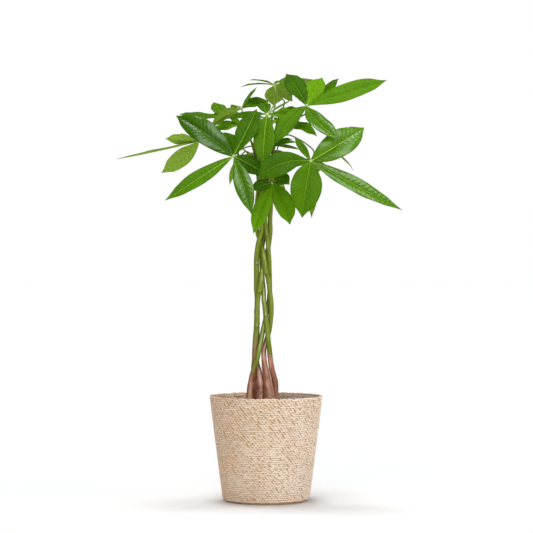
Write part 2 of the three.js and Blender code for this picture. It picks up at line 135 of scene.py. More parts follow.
class LeafSettings(bpy.types.PropertyGroup):
    """Sizes and colours of the leaves."""
    stalk_radius: length_setting("Stalk foot radius", "Radius of a stalk where it leaves the trunk", 2.2)
    neck_radius: length_setting("Stalk neck radius", "Radius of a stalk at its hub", 1.3)
    hub_radius: length_setting("Hub radius", "Radius of the swollen joint that the leaflets spread from", 3.2)
    thickness: length_setting("Blade thickness", "Thickness of a leaflet's blade", 0.45)
    vein_spacing: length_setting("Vein spacing", "Distance between side veins along the midrib", 9.5)
    quilting: length_setting("Quilting", "How far the blade swells between its side veins", 0.55)
    fold: FloatProperty(
        name="Fold", description="How far each half of a blade is lifted from flat",
        default=math.radians(13), subtype="ANGLE", unit="ROTATION")
    # Young and old are the ends of each blade's tone, which is partly its age and partly painted light: the
    # light end also stands for light shining through a blade from behind.
    young: colour_setting("Young leaf", "Upper side of the lightest leaflets", "#669c05")
    old: colour_setting("Old leaf", "Upper side of the darkest leaflets", "#265104")
    under: colour_setting("Underside", "Lower side of the blades", "#8dad3e")
    rib: colour_setting("Midrib", "Colour of the midribs and hubs", "#9cc540")
    stalk: colour_setting("Stalk", "Colour of the leaf stalks", "#7d9440")
    dry: colour_setting("Dry tip", "Colour of a dried tip", "#7d5f2c")


class StageSettings(bpy.types.PropertyGroup):
    """Camera, light and floor."""
    camera_distance: FloatProperty(
        name="Camera distance", description="From the camera to the basket's axis",
        default=3.692, unit="LENGTH")
    camera_height: FloatProperty(
        name="Camera height", description="Height of the camera above the floor", default=0.42, unit="LENGTH")
    camera_shift: FloatProperty(
        name="Camera aside", description="How far the camera stands to the right",
        default=0.0007, unit="LENGTH")
    camera_tilt: FloatProperty(
        name="Camera tilt", description="How far the camera looks up from level",
        default=math.radians(0.186), subtype="ANGLE", unit="ROTATION")
    lens: FloatProperty(
        name="Lens", description="Focal length on a 36 mm sensor", default=135.08, subtype="DISTANCE_CAMERA")
    key: FloatProperty(name="Key light", description="Strength of the light from above", default=2.2)
    fill: FloatProperty(name="Surround", description="Strength of the light from all around", default=0.2)
    side: FloatProperty(name="Side light", description="Strength of the light from the right", default=1.2)
    front: FloatProperty(
        name="Front light", description="Strength of the light from the camera's side", default=1.35)
    gleam: FloatProperty(
        name="Gleam", description="Strength of the light that only glossy skins show", default=8.0)
    mirrored: FloatProperty(
        name="Mirrored surround", description="How bright the surround is where a glossy skin mirrors it",
        default=0.08)
    floor_glow: FloatProperty(
        name="Floor glow", description="How much the floor shines by itself", default=0.03)


# ---- The tree's plan, in millimetres ---------------------------------------------------------------------
TRUNK_FOOT = 105
TRUNK_TIP = 3
TRUNK_HEIGHTS = (
    165, 191, 222, 241, 250, 259, 278, 296, 315, 333, 352,
    370, 389, 407, 425, 444, 462, 481, 499, 514, 545, 580)
# Each trunk has the height of its top, (x, y, radius) there and (x, y, radius) at each of the heights. Old
# is the height up to which its bark is brown and turn the length over which it turns green. Scars are
# (height, degrees round from the front to the right, width, kind): a ring goes right round, a knot stands
# out, and a patch is sunken and dark.
TRUNKS = (
    dict(name="trunk_1", top=612, top_place=(5, -12, 3.0), old=236, turn=44, sections=(
        (-32, -6, 7.2), (-30.6, -6, 6.1), (-28, -6, 4.4), (-23.6, -9.5, 3.9), (-20.6, -10.5, 4.1),
        (-17.4, -11, 4.2), (-13, -10, 4.1), (-9.2, -5.5, 4), (-5.7, -1, 4), (-1.7, 3.5, 4), (1.7, 5.5, 4),
        (5.4, 5.5, 4),
        (6.8, 5, 4), (6.5, 4.5, 3.9), (6.2, -0.5, 3.8), (5.7, -4, 3.6), (4.4, -6, 3.7), (3, -6, 4),
        (-0.2, -4.5, 3.8), (-1.6, -3, 3.5), (1, -6, 3.4), (3, -9, 3.2),
    ), scars=((232, 0, 2.2, "ring"), (487, 10, 3.2, "knot"), (262, -30, 2.0, "patch"))),
    dict(name="trunk_2", top=655, top_place=(13, 5, 3.0), old=272, turn=116, sections=(
        (-18.6, 13, 6.5), (-18.6, 11, 6), (-18.6, 8, 5), (-23, 5, 4.6), (-22.6, 1, 4.5), (-21.6, -2, 4.5),
        (-20.7, -4, 4.5), (-20, -5, 4.4), (-18.2, -5, 4.7), (-17, -5, 4.8), (-16.8, -5, 4.6), (-16, -5, 4.6),
        (-12.2, -7, 4.6), (-8.9, -7, 4.6), (-7, -1.5, 4.4), (-2, 2.5, 4.2), (3, 4.5, 4), (6, 3.5, 3.9),
        (7.6, 2.5, 4.1), (7.2, 3.5, 3.9), (9, 3, 3.6), (11, 3, 3.4),
    ), scars=((320, 8, 3.6, "knot"), (384, 0, 3.2, "knot"), (348, -20, 1.6, "ring"))),
    dict(name="trunk_3", top=640, top_place=(-8, -15, 2.9), old=330, turn=60, sections=(
        (-11.5, -9, 7.6), (-10.9, -7.5, 6.6), (-10.6, -4.5, 5.4), (-13.5, 4, 4.4), (-16.2, 8, 4.3),
        (-17.6, 6.5, 4.2), (-18, 5.5, 4.2), (-17.2, 5, 4.4), (-16.8, 5.5, 4.3), (-16.8, 5.5, 4.2),
        (-16.8, 5.2, 4.2), (-16.5, 5, 4.2),
        (-17.8, 1.5, 4.4), (-17.7, -1, 4.5), (-17.7, -3, 4.6), (-17.7, -4, 4.6), (-16.3, -6, 4.2),
        (-13.1, -8, 3.9), (-8.5, -8, 3.7), (-9.5, -8, 3.6), (-9.5, -8.5, 3.4), (-8, -10, 3.2),
    ), scars=((436, 10, 2.6, "knot"), (206, -25, 2.4, "patch"))),
    dict(name="trunk_4", top=645, top_place=(-17, 3, 2.9), old=300, turn=50, sections=(
        (7.5, -12, 10.3), (6.4, -10, 9.7), (2.3, -8, 7), (-1, -8, 5.7), (-2.5, -7, 5), (-3.7, -6, 4.5),
        (-4, -0.5, 4.1), (0.7, 3.8, 4.2), (5.8, 1.2, 4.2), (8.2, -1, 4.1), (9.8, -4, 4), (9, -5, 4),
        (6.3, -5.5, 4), (4.4, -5.5, 4.3), (-0.6, -9.5, 4.5), (-3.3, -10, 4.2), (-5.5, -6.5, 3.5),
        (-12, 4.2, 3.6), (-17, 0, 3.5), (-18, 0, 3.4), (-17.5, 1, 3.3), (-14.5, 2, 3.1),
    ), scars=((206, 12, 3.4, "patch"), (226, 5, 2.6, "patch"), (418, 5, 3.4, "knot"))),
    dict(name="trunk_5", top=660, top_place=(-1, 13, 2.8), old=269, turn=14, sections=(
        (17, 7, 7), (16.3, 5, 6.1), (15.9, 2, 5.4), (10.9, -1, 4.8), (9.7, -1.5, 4.7), (8.1, -2, 4.5),
        (6.1, -5, 4.3), (4.2, -8.5, 4.2), (2.2, -8.5, 4.2), (-0.1, -8.5, 4.2), (-2, -7.5, 4), (-4.2, -5, 3.9),
        (-4.8, 1, 3.8), (-6.6, 4.5, 3.8), (-7.9, 8.2, 3.7), (-8.5, 9.5, 3.6), (-8.1, 7, 3.5),
        (-5, 9, 3.4), (-6, 7.5, 3.3), (-7, 8, 3.2), (-5, 8, 3.2), (-3, 9, 3),
    ), scars=((268.6, 20, 2.6, "ring"), (212, 10, 2.4, "patch"), (340, 0, 2.6, "knot"))),
)

def blade(x, y, z, width, arch, bow=0, roll=0, belly=1.12, full=0.8, tone=0.5, rib=0.4, waxy=False):
    """A leaflet, from its hub to its tip at x, y, z. Arch lifts the middle of its rib and bow pushes it
    sideways, as shares of its length, and roll turns the blade about its rib, in degrees. The outline is
    widest past the middle if belly is over 1, and fuller if full is low. Tone is 0 for an old dark blade
    and 1 for a young light one, and is partly painted light: a light tone also stands for light shining
    through the blade from behind. Rib is how pale its midrib is. A waxy blade gleams."""
    return dict(tip=Vector((x, y, z)), width=width, arch=arch, bow=bow, roll=roll, belly=belly, full=full,
                tone=tone, rib=rib, waxy=waxy)


# Each leaf grows from a trunk, counted from 0, at a height, and its stalk passes through the points of
# route to the hub, which the leaflets spread from. Facing is the way that the upper side of the whole leaf
# looks.
LEAVES = (
    dict(name="leaf_a", trunk=2, height=630, facing=(-0.15, -0.9, 0.4), hub=(-59, -95, 630),
         route=((-15, -25, 644), (-25, -40, 651), (-37, -62, 648), (-47, -80, 642)),
         leaflets=(
             blade(-164, -55, 706, 46, 0.13, belly=0.95, tone=0.15, rib=0.1, waxy=True),
             blade(-17, -72, 717, 39, 0.08, bow=-0.04, belly=1.2, tone=0.25, rib=0.7),
             blade(-6, -82, 600, 34, 0.08, tone=0.2, rib=0.5),
             blade(-25, -118, 522, 34, 0.08, bow=0.02, belly=1.05, full=1.05, tone=0.4, rib=0.05, waxy=True),
             blade(-181, -125, 549, 32, 0.06, bow=0.03, belly=1.1, rib=0.8),
             blade(-76, -55, 676, 40, 0.06, belly=0.8, tone=0.3),
         )),
    dict(name="leaf_b", trunk=0, height=600, facing=(0.1, -0.93, 0.35), hub=(80, -115, 620),
         route=((11, -20, 632), (20, -31, 659), (38, -55, 671), (57, -75, 663), (74, -94, 651),
                (86, -106, 637)),
         leaflets=(
             blade(177, -92, 682, 53, 0.1, bow=-0.04, belly=1, tone=0.6, rib=1, waxy=True),
             blade(51, -104, 663, 15, 0.05, tone=0.4, rib=0.2),
             blade(-15, -124, 588, 46, 0.07, bow=-0.105, belly=1.3, tone=0.25),
             blade(64, -138, 518, 58, 0.08, bow=-0.018, belly=0.98, tone=0.45, rib=0.3),
             blade(243, -125, 532, 30, 0.06, bow=-0.028, belly=0.95, tone=0.6, waxy=True),
             blade(158, -84, 604, 13, 0.25, roll=-72),
         )),
    dict(name="leaf_c", trunk=1, height=638, facing=(0.1, -0.8, 0.6), hub=(74, -45, 725),
         route=((10, -8, 655), (12, -18, 670), (24, -18, 686), (46, -15, 704), (64, -16, 708),
                (73, -29, 713)),
         leaflets=(
             blade(221, -30, 773, 42, 0.04, bow=-0.025, tone=0.7, rib=0.2),
             blade(131, -142, 656, 37, 0.04, bow=-0.08, belly=1.2, tone=0.5, rib=0.2, waxy=True),
             blade(15, -84, 652, 33, 0.08, bow=-0.04, rib=0.3),
             blade(37, -8, 787, 40, 0.06, belly=1.2, tone=0.2, rib=0.3),
             blade(104, -5, 780, 34, 0.06, tone=1, rib=0.6),
             blade(135, 25, 782, 18, 0.06, roll=40, tone=0.4),
             blade(60, 42, 745, 24, 0.08, tone=0.3),
         )),
    dict(name="leaf_d", trunk=1, height=650, facing=(0, -0.75, 0.66), hub=(2, -60, 708),
         route=((16, 10, 680), (23, 8, 708), (33, -2, 730), (32, -18, 738), (22, -36, 735), (12, -50, 722)),
         leaflets=(
             blade(-5, -100, 613, 40, 0.07, bow=-0.015, rib=0.7),
             blade(62, -20, 724, 33, 0.03, bow=-0.16, tone=0.6),
             blade(-8, -20, 732, 25, 0.08, tone=0.3),
             blade(-72, -32, 702, 18, 0.06, tone=0.25),
             blade(47, -42, 736, 5, 0.03, tone=0.3),
         )),
    dict(name="leaf_e", trunk=2, height=618, facing=(-0.2, -0.6, 0.75), hub=(-48, -5, 694),
         route=((-18, -14, 645), (-34, -12, 675)),
         leaflets=(
             blade(-103, 6, 682, 30, 0.05, belly=0.9, tone=0.75),
             blade(-66, 4, 708, 13, 0.05),
             blade(-20, 14, 696, 11, 0.05),
         )),
    dict(name="leaf_f", trunk=3, height=624, facing=(0.05, 0.35, 0.93), hub=(-46, 15, 725),
         route=((-23, -2, 645), (-30, 4, 669), (-38, 13, 700)),
         leaflets=(
             blade(4, 72, 744, 31, 0.06, roll=45, tone=0.4),
             blade(-17, 25, 766, 11, 0.02, roll=60, tone=0.3),
             blade(-101, -30, 690, 30, 0.06, roll=38),
             blade(-66, 60, 730, 18, 0.06),
         )),
    dict(name="leaf_g", trunk=4, height=652, facing=(0, 0.6, 0.8), hub=(16, 30, 770),
         route=((5, 19, 680), (13, 16, 715), (19, 20, 748)),
         leaflets=(
             blade(-48, 45, 768, 19, 0.05, roll=-38),
             blade(-31, 60, 782, 18, 0.05, roll=-38),
             blade(14, 51, 733, 36, 0.05),
             blade(109, 36, 772, 34, -0.01, tone=1),
             blade(49, 26, 739, 28, 0.06, tone=0.3),
             blade(46, 105, 780, 28, 0.08),
         )),
    dict(name="leaf_h", trunk=3, height=600, facing=(-0.25, 0.05, 0.97), hub=(-122, -40, 661),
         route=((-35, -14, 641), (-65, -35, 660), (-95, -43, 668)),
         leaflets=(
             blade(-275, -20, 629, 28, -0.01),
             blade(-193, -10, 604, 34, 0.1, bow=-0.06, roll=60, belly=1.2, tone=0.6),
             blade(-184, -48, 665, 25, 0, roll=46, tone=0.8),
             blade(-98, 45, 672, 20, 0.04),
             blade(-128, 52, 678, 24, 0.07),
         )),
    dict(name="leaf_i", trunk=3, height=642, facing=(-0.1, -0.3, 0.95), hub=(-81, 30, 713),
         route=((-28, 14, 664), (-54, 28, 702)),
         leaflets=(
             blade(-161, 5, 714, 32, -0.05, roll=-15, tone=0.4),
             blade(-99, 62, 741, 30, 0.02, belly=0.75, full=0.9),
             blade(-52, 105, 717, 24, 0.07),
             blade(-122, 82, 709, 24, 0.06),
         )),
    dict(name="leaf_j", trunk=1, height=620, facing=(0.15, -0.6, 0.78), hub=(33, -5, 692),
         route=((21, -1, 650), (28, -4, 675)),
         leaflets=(
             blade(93, -45, 669, 34, 0.12, belly=0.95, tone=0.95, rib=0.1),
             blade(46, 25, 700, 16, 0.06),
             blade(12, -12, 706, 14, 0.06),
         )),
    dict(name="leaf_k", trunk=0, height=588, facing=(0.2, -0.7, 0.7), hub=(9, -45, 653),
         route=((2, -26, 618), (5, -38, 641)),
         leaflets=(
             blade(48, -56, 663, 13, 0.08, tone=0.6),
             blade(57, -66, 657, 11, 0.05, tone=0.6),
             blade(62, -56, 644, 10, 0.05, tone=0.6),
             blade(-14, -34, 668, 10, 0.06),
         )),
    dict(name="leaf_l", trunk=0, height=560, facing=(0, -0.9, 0.4), hub=(11, -60, 583),
         route=((8, -26, 578), (11, -45, 588)),
         leaflets=(
             blade(-23, -95, 491, 32, 0.07, belly=1.25, tone=0.85, rib=0.05),
             blade(43, -80, 507, 38, 0.07, bow=0.05, tone=0.65, rib=0.05),
             blade(-27, -70, 571, 25, 0.08, tone=0.25),
             blade(42, -84, 579, 28, 0.1, bow=0.2, tone=0.3),
         )),
    dict(name="leaf_m", trunk=3, height=615, facing=(-0.3, 0.75, 0.6), hub=(-50, 95, 640),
         route=((-22, 26, 635), (-38, 62, 648)),
         leaflets=(
             blade(-70, 140, 588, 13, 0.08, tone=0.3),
             blade(-50, 176, 578, 26, 0.1, tone=0.3),
             blade(8, 128, 630, 24, 0.08, tone=0.3),
             blade(-50, 172, 700, 30, 0.08),
             blade(-105, 160, 690, 30, 0.09),
         )),
    dict(name="leaf_n", trunk=1, height=644, facing=(0.3, 0.6, 0.75), hub=(95, 100, 630),
         route=((27, 25, 646), (50, 55, 636), (75, 85, 633)),
         leaflets=(
             blade(170, 115, 680, 32, 0.08),
             blade(87, 125, 525, 24, 0.1, bow=0.06, tone=0.3),
             blade(92, 192, 612, 34, 0.1, tone=0.3),
             blade(40, 178, 626, 24, 0.06),
         )),
    dict(name="leaf_o", trunk=4, height=638, facing=(0, 0.6, 0.8), hub=(5, 75, 705),
         route=((0, 30, 668), (3, 55, 695)),
         leaflets=(
             blade(-60, 125, 700, 26, 0.08),
             blade(55, 120, 700, 26, 0.08),
             blade(-5, 185, 688, 30, 0.1),
             blade(-45, 170, 716, 28, 0.08, tone=0.6),
             blade(60, 170, 735, 28, 0.08),
         )),
    dict(name="leaf_p", trunk=4, height=585, facing=(0, 0.85, 0.5), hub=(0, 70, 610),
         route=((-2, 30, 600), (0, 55, 612)),
         leaflets=(
             blade(38, 120, 562, 24, 0.08, tone=0.3),
             blade(5, 165, 560, 34, 0.1),
             blade(42, 165, 606, 24, 0.06),
             blade(-14, 148, 577, 22, 0.08, tone=0.3),
         )),
)


# ---- Nodes and materials ---------------------------------------------------------------------------------
# Where sockets share a name, they are given by number. The values of a Math, Vector Math, Boolean Math or
# Compare node start at 0. A Mix Shader has its share at 0 and its shaders at 1 and 2, and a Mix has its share
# at 0 and its colours at 6 and 7. A Random Value has its limits at 2 and 3 for a number, and at 0 and 1 for a
# vector.
def add_node(tree, kind, sockets=None, **settings):
    """Adds a node with its settings. Each socket is given a value, or what feeds it: an output, or a node,
    whose first output in use is taken."""
    node = tree.nodes.new(kind)
    for setting, value in settings.items():
        setattr(node, setting, value)
    for socket, value in (sockets or {}).items():
        if isinstance(value, bpy.types.Node):
            value = next(output for output in value.outputs if output.enabled)
        if isinstance(value, bpy.types.NodeSocket):
            tree.links.new(value, node.inputs[socket])
        else:
            node.inputs[socket].default_value = value
    return node


def new_material(name):
    """An empty material and its node tree."""
    material = bpy.data.materials.new(name)
    material.use_nodes = True
    material.node_tree.nodes.clear()
    return material, material.node_tree


def finish_material(tree, colour, roughness, bump_height=None, bump_depth=0.0, **fixed):
    """Ends a tree in a shader. The bump's height runs from 0 to 1 over its depth in metres."""
    sockets = {"Base Color": colour, "Roughness": roughness}
    if bump_height is not None:
        sockets["Normal"] = add_node(
            tree, "ShaderNodeBump", {"Height": bump_height, "Distance": bump_depth, "Strength": 1.0})
    shader = add_node(tree, "ShaderNodeBsdfPrincipled", sockets)
    for socket, value in fixed.items():
        shader.inputs[socket.replace("_", " ")].default_value = value
    add_node(tree, "ShaderNodeOutputMaterial", {"Surface": shader})


def rope_material(settings):
    """Dried plant-fibre rope, twisted and hand woven: dull, straw to light brown, each strand its own tone,
    with fine fibres along it, painted shade in the gaps between the strands, and painted side light that
    leaves the right side paler and the left browner."""
    material, tree = new_material("twisted fibre rope")
    tone = add_node(tree, "ShaderNodeAttribute", attribute_name="strand_tone").outputs["Fac"]
    place = add_node(tree, "ShaderNodeAttribute", attribute_name="strand_place").outputs["Vector"]
    where = add_node(tree, "ShaderNodeTexCoord").outputs["Object"]
    # Broad patches of browner and paler rope, about 60 mm across.
    patches = add_node(tree, "ShaderNodeTexNoise", {"Vector": where, "Scale": 1 / (60 * MM), "Detail": 2.0})
    # Painted side light: the rope is paler on the right, where the light comes from, and browner on the left.
    side_fade = add_node(tree, "ShaderNodeSeparateXYZ", {"Vector": where})
    across = add_node(tree, "ShaderNodeMapRange", {
        "Value": side_fade.outputs["X"], "From Min": -100 * MM, "From Max": 100 * MM,
        "To Min": -0.14, "To Max": 0.2})
    patches_and_side_light = add_node(tree, "ShaderNodeMath", {0: patches, 1: 0.5, 2: across}, operation="MULTIPLY_ADD")
    mixed = add_node(tree, "ShaderNodeMath", {0: tone, 1: 0.4, 2: patches_and_side_light}, operation="MULTIPLY_ADD")
    share = add_node(tree, "ShaderNodeMapRange", {"Value": mixed, "From Min": 0.1, "From Max": 0.95})
    ramp = add_node(tree, "ShaderNodeValToRGB", {"Fac": share})
    ramp.color_ramp.elements[0].color = (*settings.brown, 1)
    ramp.color_ramp.elements[1].color = (*settings.pale, 1)
    ramp.color_ramp.elements.new(0.5).color = (*settings.mid, 1)
    # Fibres, 0.5 mm wide and 10 mm long, drawn along the strand, and different in each strand.
    stretch = add_node(tree, "ShaderNodeMapping", {"Vector": place, "Scale": (2000.0, 100.0, 2000.0)})
    strand = add_node(tree, "ShaderNodeMath", {0: tone, 1: 50.0}, operation="MULTIPLY")
    fibres = add_node(tree, "ShaderNodeTexNoise", {
        "Vector": stretch, "W": strand, "Scale": 1.0, "Detail": 2.0}, noise_dimensions="4D")
    streak = add_node(tree, "ShaderNodeMapRange", {
        "Value": fibres, "From Min": 0.3, "From Max": 0.7, "To Min": 0.86, "To Max": 1.1})
    streaked = add_node(tree, "ShaderNodeMix", {
        0: 1.0, 6: ramp, 7: streak}, data_type="RGBA", blend_type="MULTIPLY")
    # Painted shade at the foot of each strand, where it tucks under its neighbours.
    depth = add_node(tree, "ShaderNodeSeparateXYZ", {"Vector": place})
    outward = add_node(tree, "ShaderNodeMath", {0: depth.outputs["X"]}, operation="ABSOLUTE")
    tucked = add_node(tree, "ShaderNodeMapRange", {
        "Value": outward, "From Min": 0.0, "From Max": 0.95 * MM, "To Min": 0.62, "To Max": 0.0})
    colour = add_node(tree, "ShaderNodeMix", {
        0: tucked, 6: streaked, 7: (*settings.gap, 1)}, data_type="RGBA")
    finish_material(tree, colour, 0.8, fibres, 0.25 * MM, Specular_IOR_Level=0.1)
    return material


def rope_core_material(settings):
    """The same rope in the shade behind the outer strands: brown and dull."""
    material, tree = new_material("shaded rope core")
    where = add_node(tree, "ShaderNodeTexCoord").outputs["Object"]
    fibres = add_node(tree, "ShaderNodeTexNoise", {"Vector": where, "Scale": 1 / (3 * MM), "Detail": 3.0})
    colour = add_node(tree, "ShaderNodeMix", {
        0: fibres, 6: (*settings.gap, 1), 7: (*settings.brown, 1)}, data_type="RGBA")
    finish_material(tree, colour, 0.9, fibres, 0.4 * MM, Specular_IOR_Level=0.15)
    return material


def film_material(settings):
    """Blown polyethylene film: milky, smooth and faintly wrinkled."""
    material, tree = new_material("polyethylene film")
    where = add_node(tree, "ShaderNodeTexCoord").outputs["Object"]
    wrinkles = add_node(tree, "ShaderNodeTexNoise", {
        "Vector": where, "Scale": 1 / (9 * MM), "Detail": 3.0, "Distortion": 1.5})
    colour = add_node(tree, "ShaderNodeMix", {
        0: wrinkles, 6: (*settings.film, 1), 7: srgb("#f2f2ec")}, data_type="RGBA")
    finish_material(tree, colour, 0.3, wrinkles, 0.5 * MM, IOR=1.5)
    return material


def pot_material(settings):
    """Injection-moulded recycled polypropylene: nearly black, with a fine matt grain and dusty scuffs."""
    material, tree = new_material("moulded polypropylene")
    where = add_node(tree, "ShaderNodeTexCoord").outputs["Object"]
    scuffs = add_node(tree, "ShaderNodeTexNoise", {
        "Vector": where, "Scale": 1 / (14 * MM), "Detail": 6.0, "Roughness": 0.7})
    dusty = add_node(tree, "ShaderNodeMapRange", {
        "Value": scuffs, "From Min": 0.5, "From Max": 0.8, "To Min": 0.0, "To Max": 0.35})
    colour = add_node(tree, "ShaderNodeMix", {
        0: dusty, 6: (*settings.plastic, 1), 7: srgb("#6a6158")}, data_type="RGBA")
    grain = add_node(tree, "ShaderNodeTexNoise", {"Vector": where, "Scale": 1 / (0.8 * MM)})
    rough = add_node(tree, "ShaderNodeMapRange", {"Value": dusty, "To Min": 0.45, "To Max": 0.75})
    finish_material(tree, colour, rough, grain, 0.05 * MM, IOR=1.49)
    return material


def peat_material(settings):
    """Damp peat potting mix: dark brown crumbs of 1 to 4 mm."""
    material, tree = new_material("potting mix")
    where = add_node(tree, "ShaderNodeTexCoord").outputs["Object"]
    crumbs = add_node(tree, "ShaderNodeTexVoronoi", {"Vector": where, "Scale": 1 / (3 * MM)})
    fine = add_node(tree, "ShaderNodeTexNoise", {"Vector": where, "Scale": 1 / (2 * MM), "Detail": 5.0})
    shade = add_node(tree, "ShaderNodeMix", {
        0: fine, 6: srgb("#1d130d"), 7: (*settings.peat, 1)}, data_type="RGBA")
    colour = add_node(tree, "ShaderNodeMix", {0: crumbs, 6: shade, 7: srgb("#4b3626")}, data_type="RGBA")
    height = add_node(tree, "ShaderNodeMath", {0: fine, 1: crumbs}, operation="SUBTRACT")
    finish_material(tree, colour, 0.95, height, 1.2 * MM, Specular_IOR_Level=0.15)
    return material


def chip_material(settings):
    """Pine bark chips: split flakes, reddish brown with a dark grain."""
    material, tree = new_material("pine bark chip")
    tone = add_node(tree, "ShaderNodeAttribute", attribute_name="chip_tone").outputs["Fac"]
    where = add_node(tree, "ShaderNodeTexCoord").outputs["Object"]
    stretch = add_node(tree, "ShaderNodeMapping", {"Vector": where, "Scale": (900.0, 250.0, 900.0)})
    grain = add_node(tree, "ShaderNodeTexNoise", {"Vector": stretch, "Scale": 1.0, "Detail": 4.0})
    base = add_node(tree, "ShaderNodeMix", {
        0: tone, 6: srgb("#3a241a"), 7: (*settings.chip, 1)}, data_type="RGBA")
    colour = add_node(tree, "ShaderNodeMix", {0: grain, 6: base, 7: srgb("#8f6748")}, data_type="RGBA")
    finish_material(tree, colour, 0.85, grain, 0.6 * MM, Specular_IOR_Level=0.2)
    return material


def perlite_material():
    """Perlite: puffed white volcanic glass, dusty and pitted."""
    material, tree = new_material("perlite")
    where = add_node(tree, "ShaderNodeTexCoord").outputs["Object"]
    pits = add_node(tree, "ShaderNodeTexVoronoi", {"Vector": where, "Scale": 1 / (1 * MM)})
    colour = add_node(tree, "ShaderNodeMix", {
        0: pits, 6: srgb("#b9b3a6"), 7: srgb("#ece8de")}, data_type="RGBA")
    finish_material(tree, colour, 0.9, pits, 0.4 * MM, Specular_IOR_Level=0.2)
    return material


def bark_material(settings):
    """Young living bark: smooth waxy green above, olive where it turns, and dull corky brown at the foot,
    with lengthwise cracks, pale cork specks and dark scars."""
    material, tree = new_material("living bark")
    age = add_node(tree, "ShaderNodeAttribute", attribute_name="bark_age").outputs["Fac"]
    scar = add_node(tree, "ShaderNodeAttribute", attribute_name="scar").outputs["Fac"]
    place = add_node(tree, "ShaderNodeAttribute", attribute_name="bark_place").outputs["Vector"]
    # Blotches, 12 mm across and 40 mm tall.
    tall = add_node(tree, "ShaderNodeMapping", {"Vector": place, "Scale": (80.0, 80.0, 25.0)})
    blotches = add_node(tree, "ShaderNodeTexNoise", {"Vector": tall, "Scale": 1.0, "Detail": 3.0})
    # Streaks, 1.5 mm across and 15 mm tall.
    long = add_node(tree, "ShaderNodeMapping", {"Vector": place, "Scale": (650.0, 650.0, 65.0)})
    streaks = add_node(tree, "ShaderNodeTexNoise", {
        "Vector": long, "Scale": 1.0, "Detail": 3.0, "Roughness": 0.6})
    uneven = add_node(tree, "ShaderNodeMath", {0: blotches, 1: 0.5}, operation="SUBTRACT")
    aged = add_node(tree, "ShaderNodeMath", {0: uneven, 1: 0.55, 2: age}, operation="MULTIPLY_ADD")
    ramp = add_node(tree, "ShaderNodeValToRGB", {"Fac": aged})
    ramp.color_ramp.elements[0].position = 0.12
    ramp.color_ramp.elements[0].color = (*settings.green, 1)
    ramp.color_ramp.elements[1].position = 0.85
    ramp.color_ramp.elements[1].color = (*settings.brown, 1)
    ramp.color_ramp.elements.new(0.45).color = (*settings.olive, 1)
    streak = add_node(tree, "ShaderNodeMapRange", {
        "Value": streaks, "From Min": 0.3, "From Max": 0.7, "To Min": 0.76, "To Max": 1.2})
    streaked = add_node(tree, "ShaderNodeMix", {
        0: 1.0, 6: ramp, 7: streak}, data_type="RGBA", blend_type="MULTIPLY")
    # Old bark is scuffed pale in tall patches.
    worn = add_node(tree, "ShaderNodeMapRange", {
        "Value": blotches, "From Min": 0.5, "From Max": 0.66, "To Min": 0.0, "To Max": 0.62})
    scuff = add_node(tree, "ShaderNodeMath", {0: worn, 1: age}, operation="MULTIPLY")
    scuffed = add_node(tree, "ShaderNodeMix", {0: scuff, 6: streaked, 7: srgb("#dfb398")}, data_type="RGBA")
    # It cracks along the stem too, in the dark part of the streaks.
    split = add_node(tree, "ShaderNodeMapRange", {
        "Value": streaks, "From Min": 0.36, "From Max": 0.44, "To Min": 0.55, "To Max": 0.0})
    crack = add_node(tree, "ShaderNodeMath", {0: split, 1: age}, operation="MULTIPLY")
    cracked = add_node(tree, "ShaderNodeMix", {
        0: crack, 6: scuffed, 7: (*settings.scar, 1)}, data_type="RGBA")
    # Cork specks, 1 to 2 mm, pale on the green bark.
    specks = add_node(tree, "ShaderNodeTexVoronoi", {"Vector": place, "Scale": 1 / (4.5 * MM)})
    speck = add_node(tree, "ShaderNodeMapRange", {
        "Value": specks, "From Min": 0.12, "From Max": 0.2, "To Min": 0.4, "To Max": 0.0})
    specked = add_node(tree, "ShaderNodeMix", {0: speck, 6: cracked, 7: srgb("#b9a070")}, data_type="RGBA")
    scarred = add_node(tree, "ShaderNodeMix", {0: scar, 6: specked, 7: (*settings.scar, 1)}, data_type="RGBA")
    rough = add_node(tree, "ShaderNodeMapRange", {"Value": age, "To Min": 0.36, "To Max": 0.42})
    height = add_node(tree, "ShaderNodeMath", {0: streaks, 1: speck}, operation="ADD")
    finish_material(tree, scarred, rough, height, 0.5 * MM, Specular_IOR_Level=0.3)
    return material


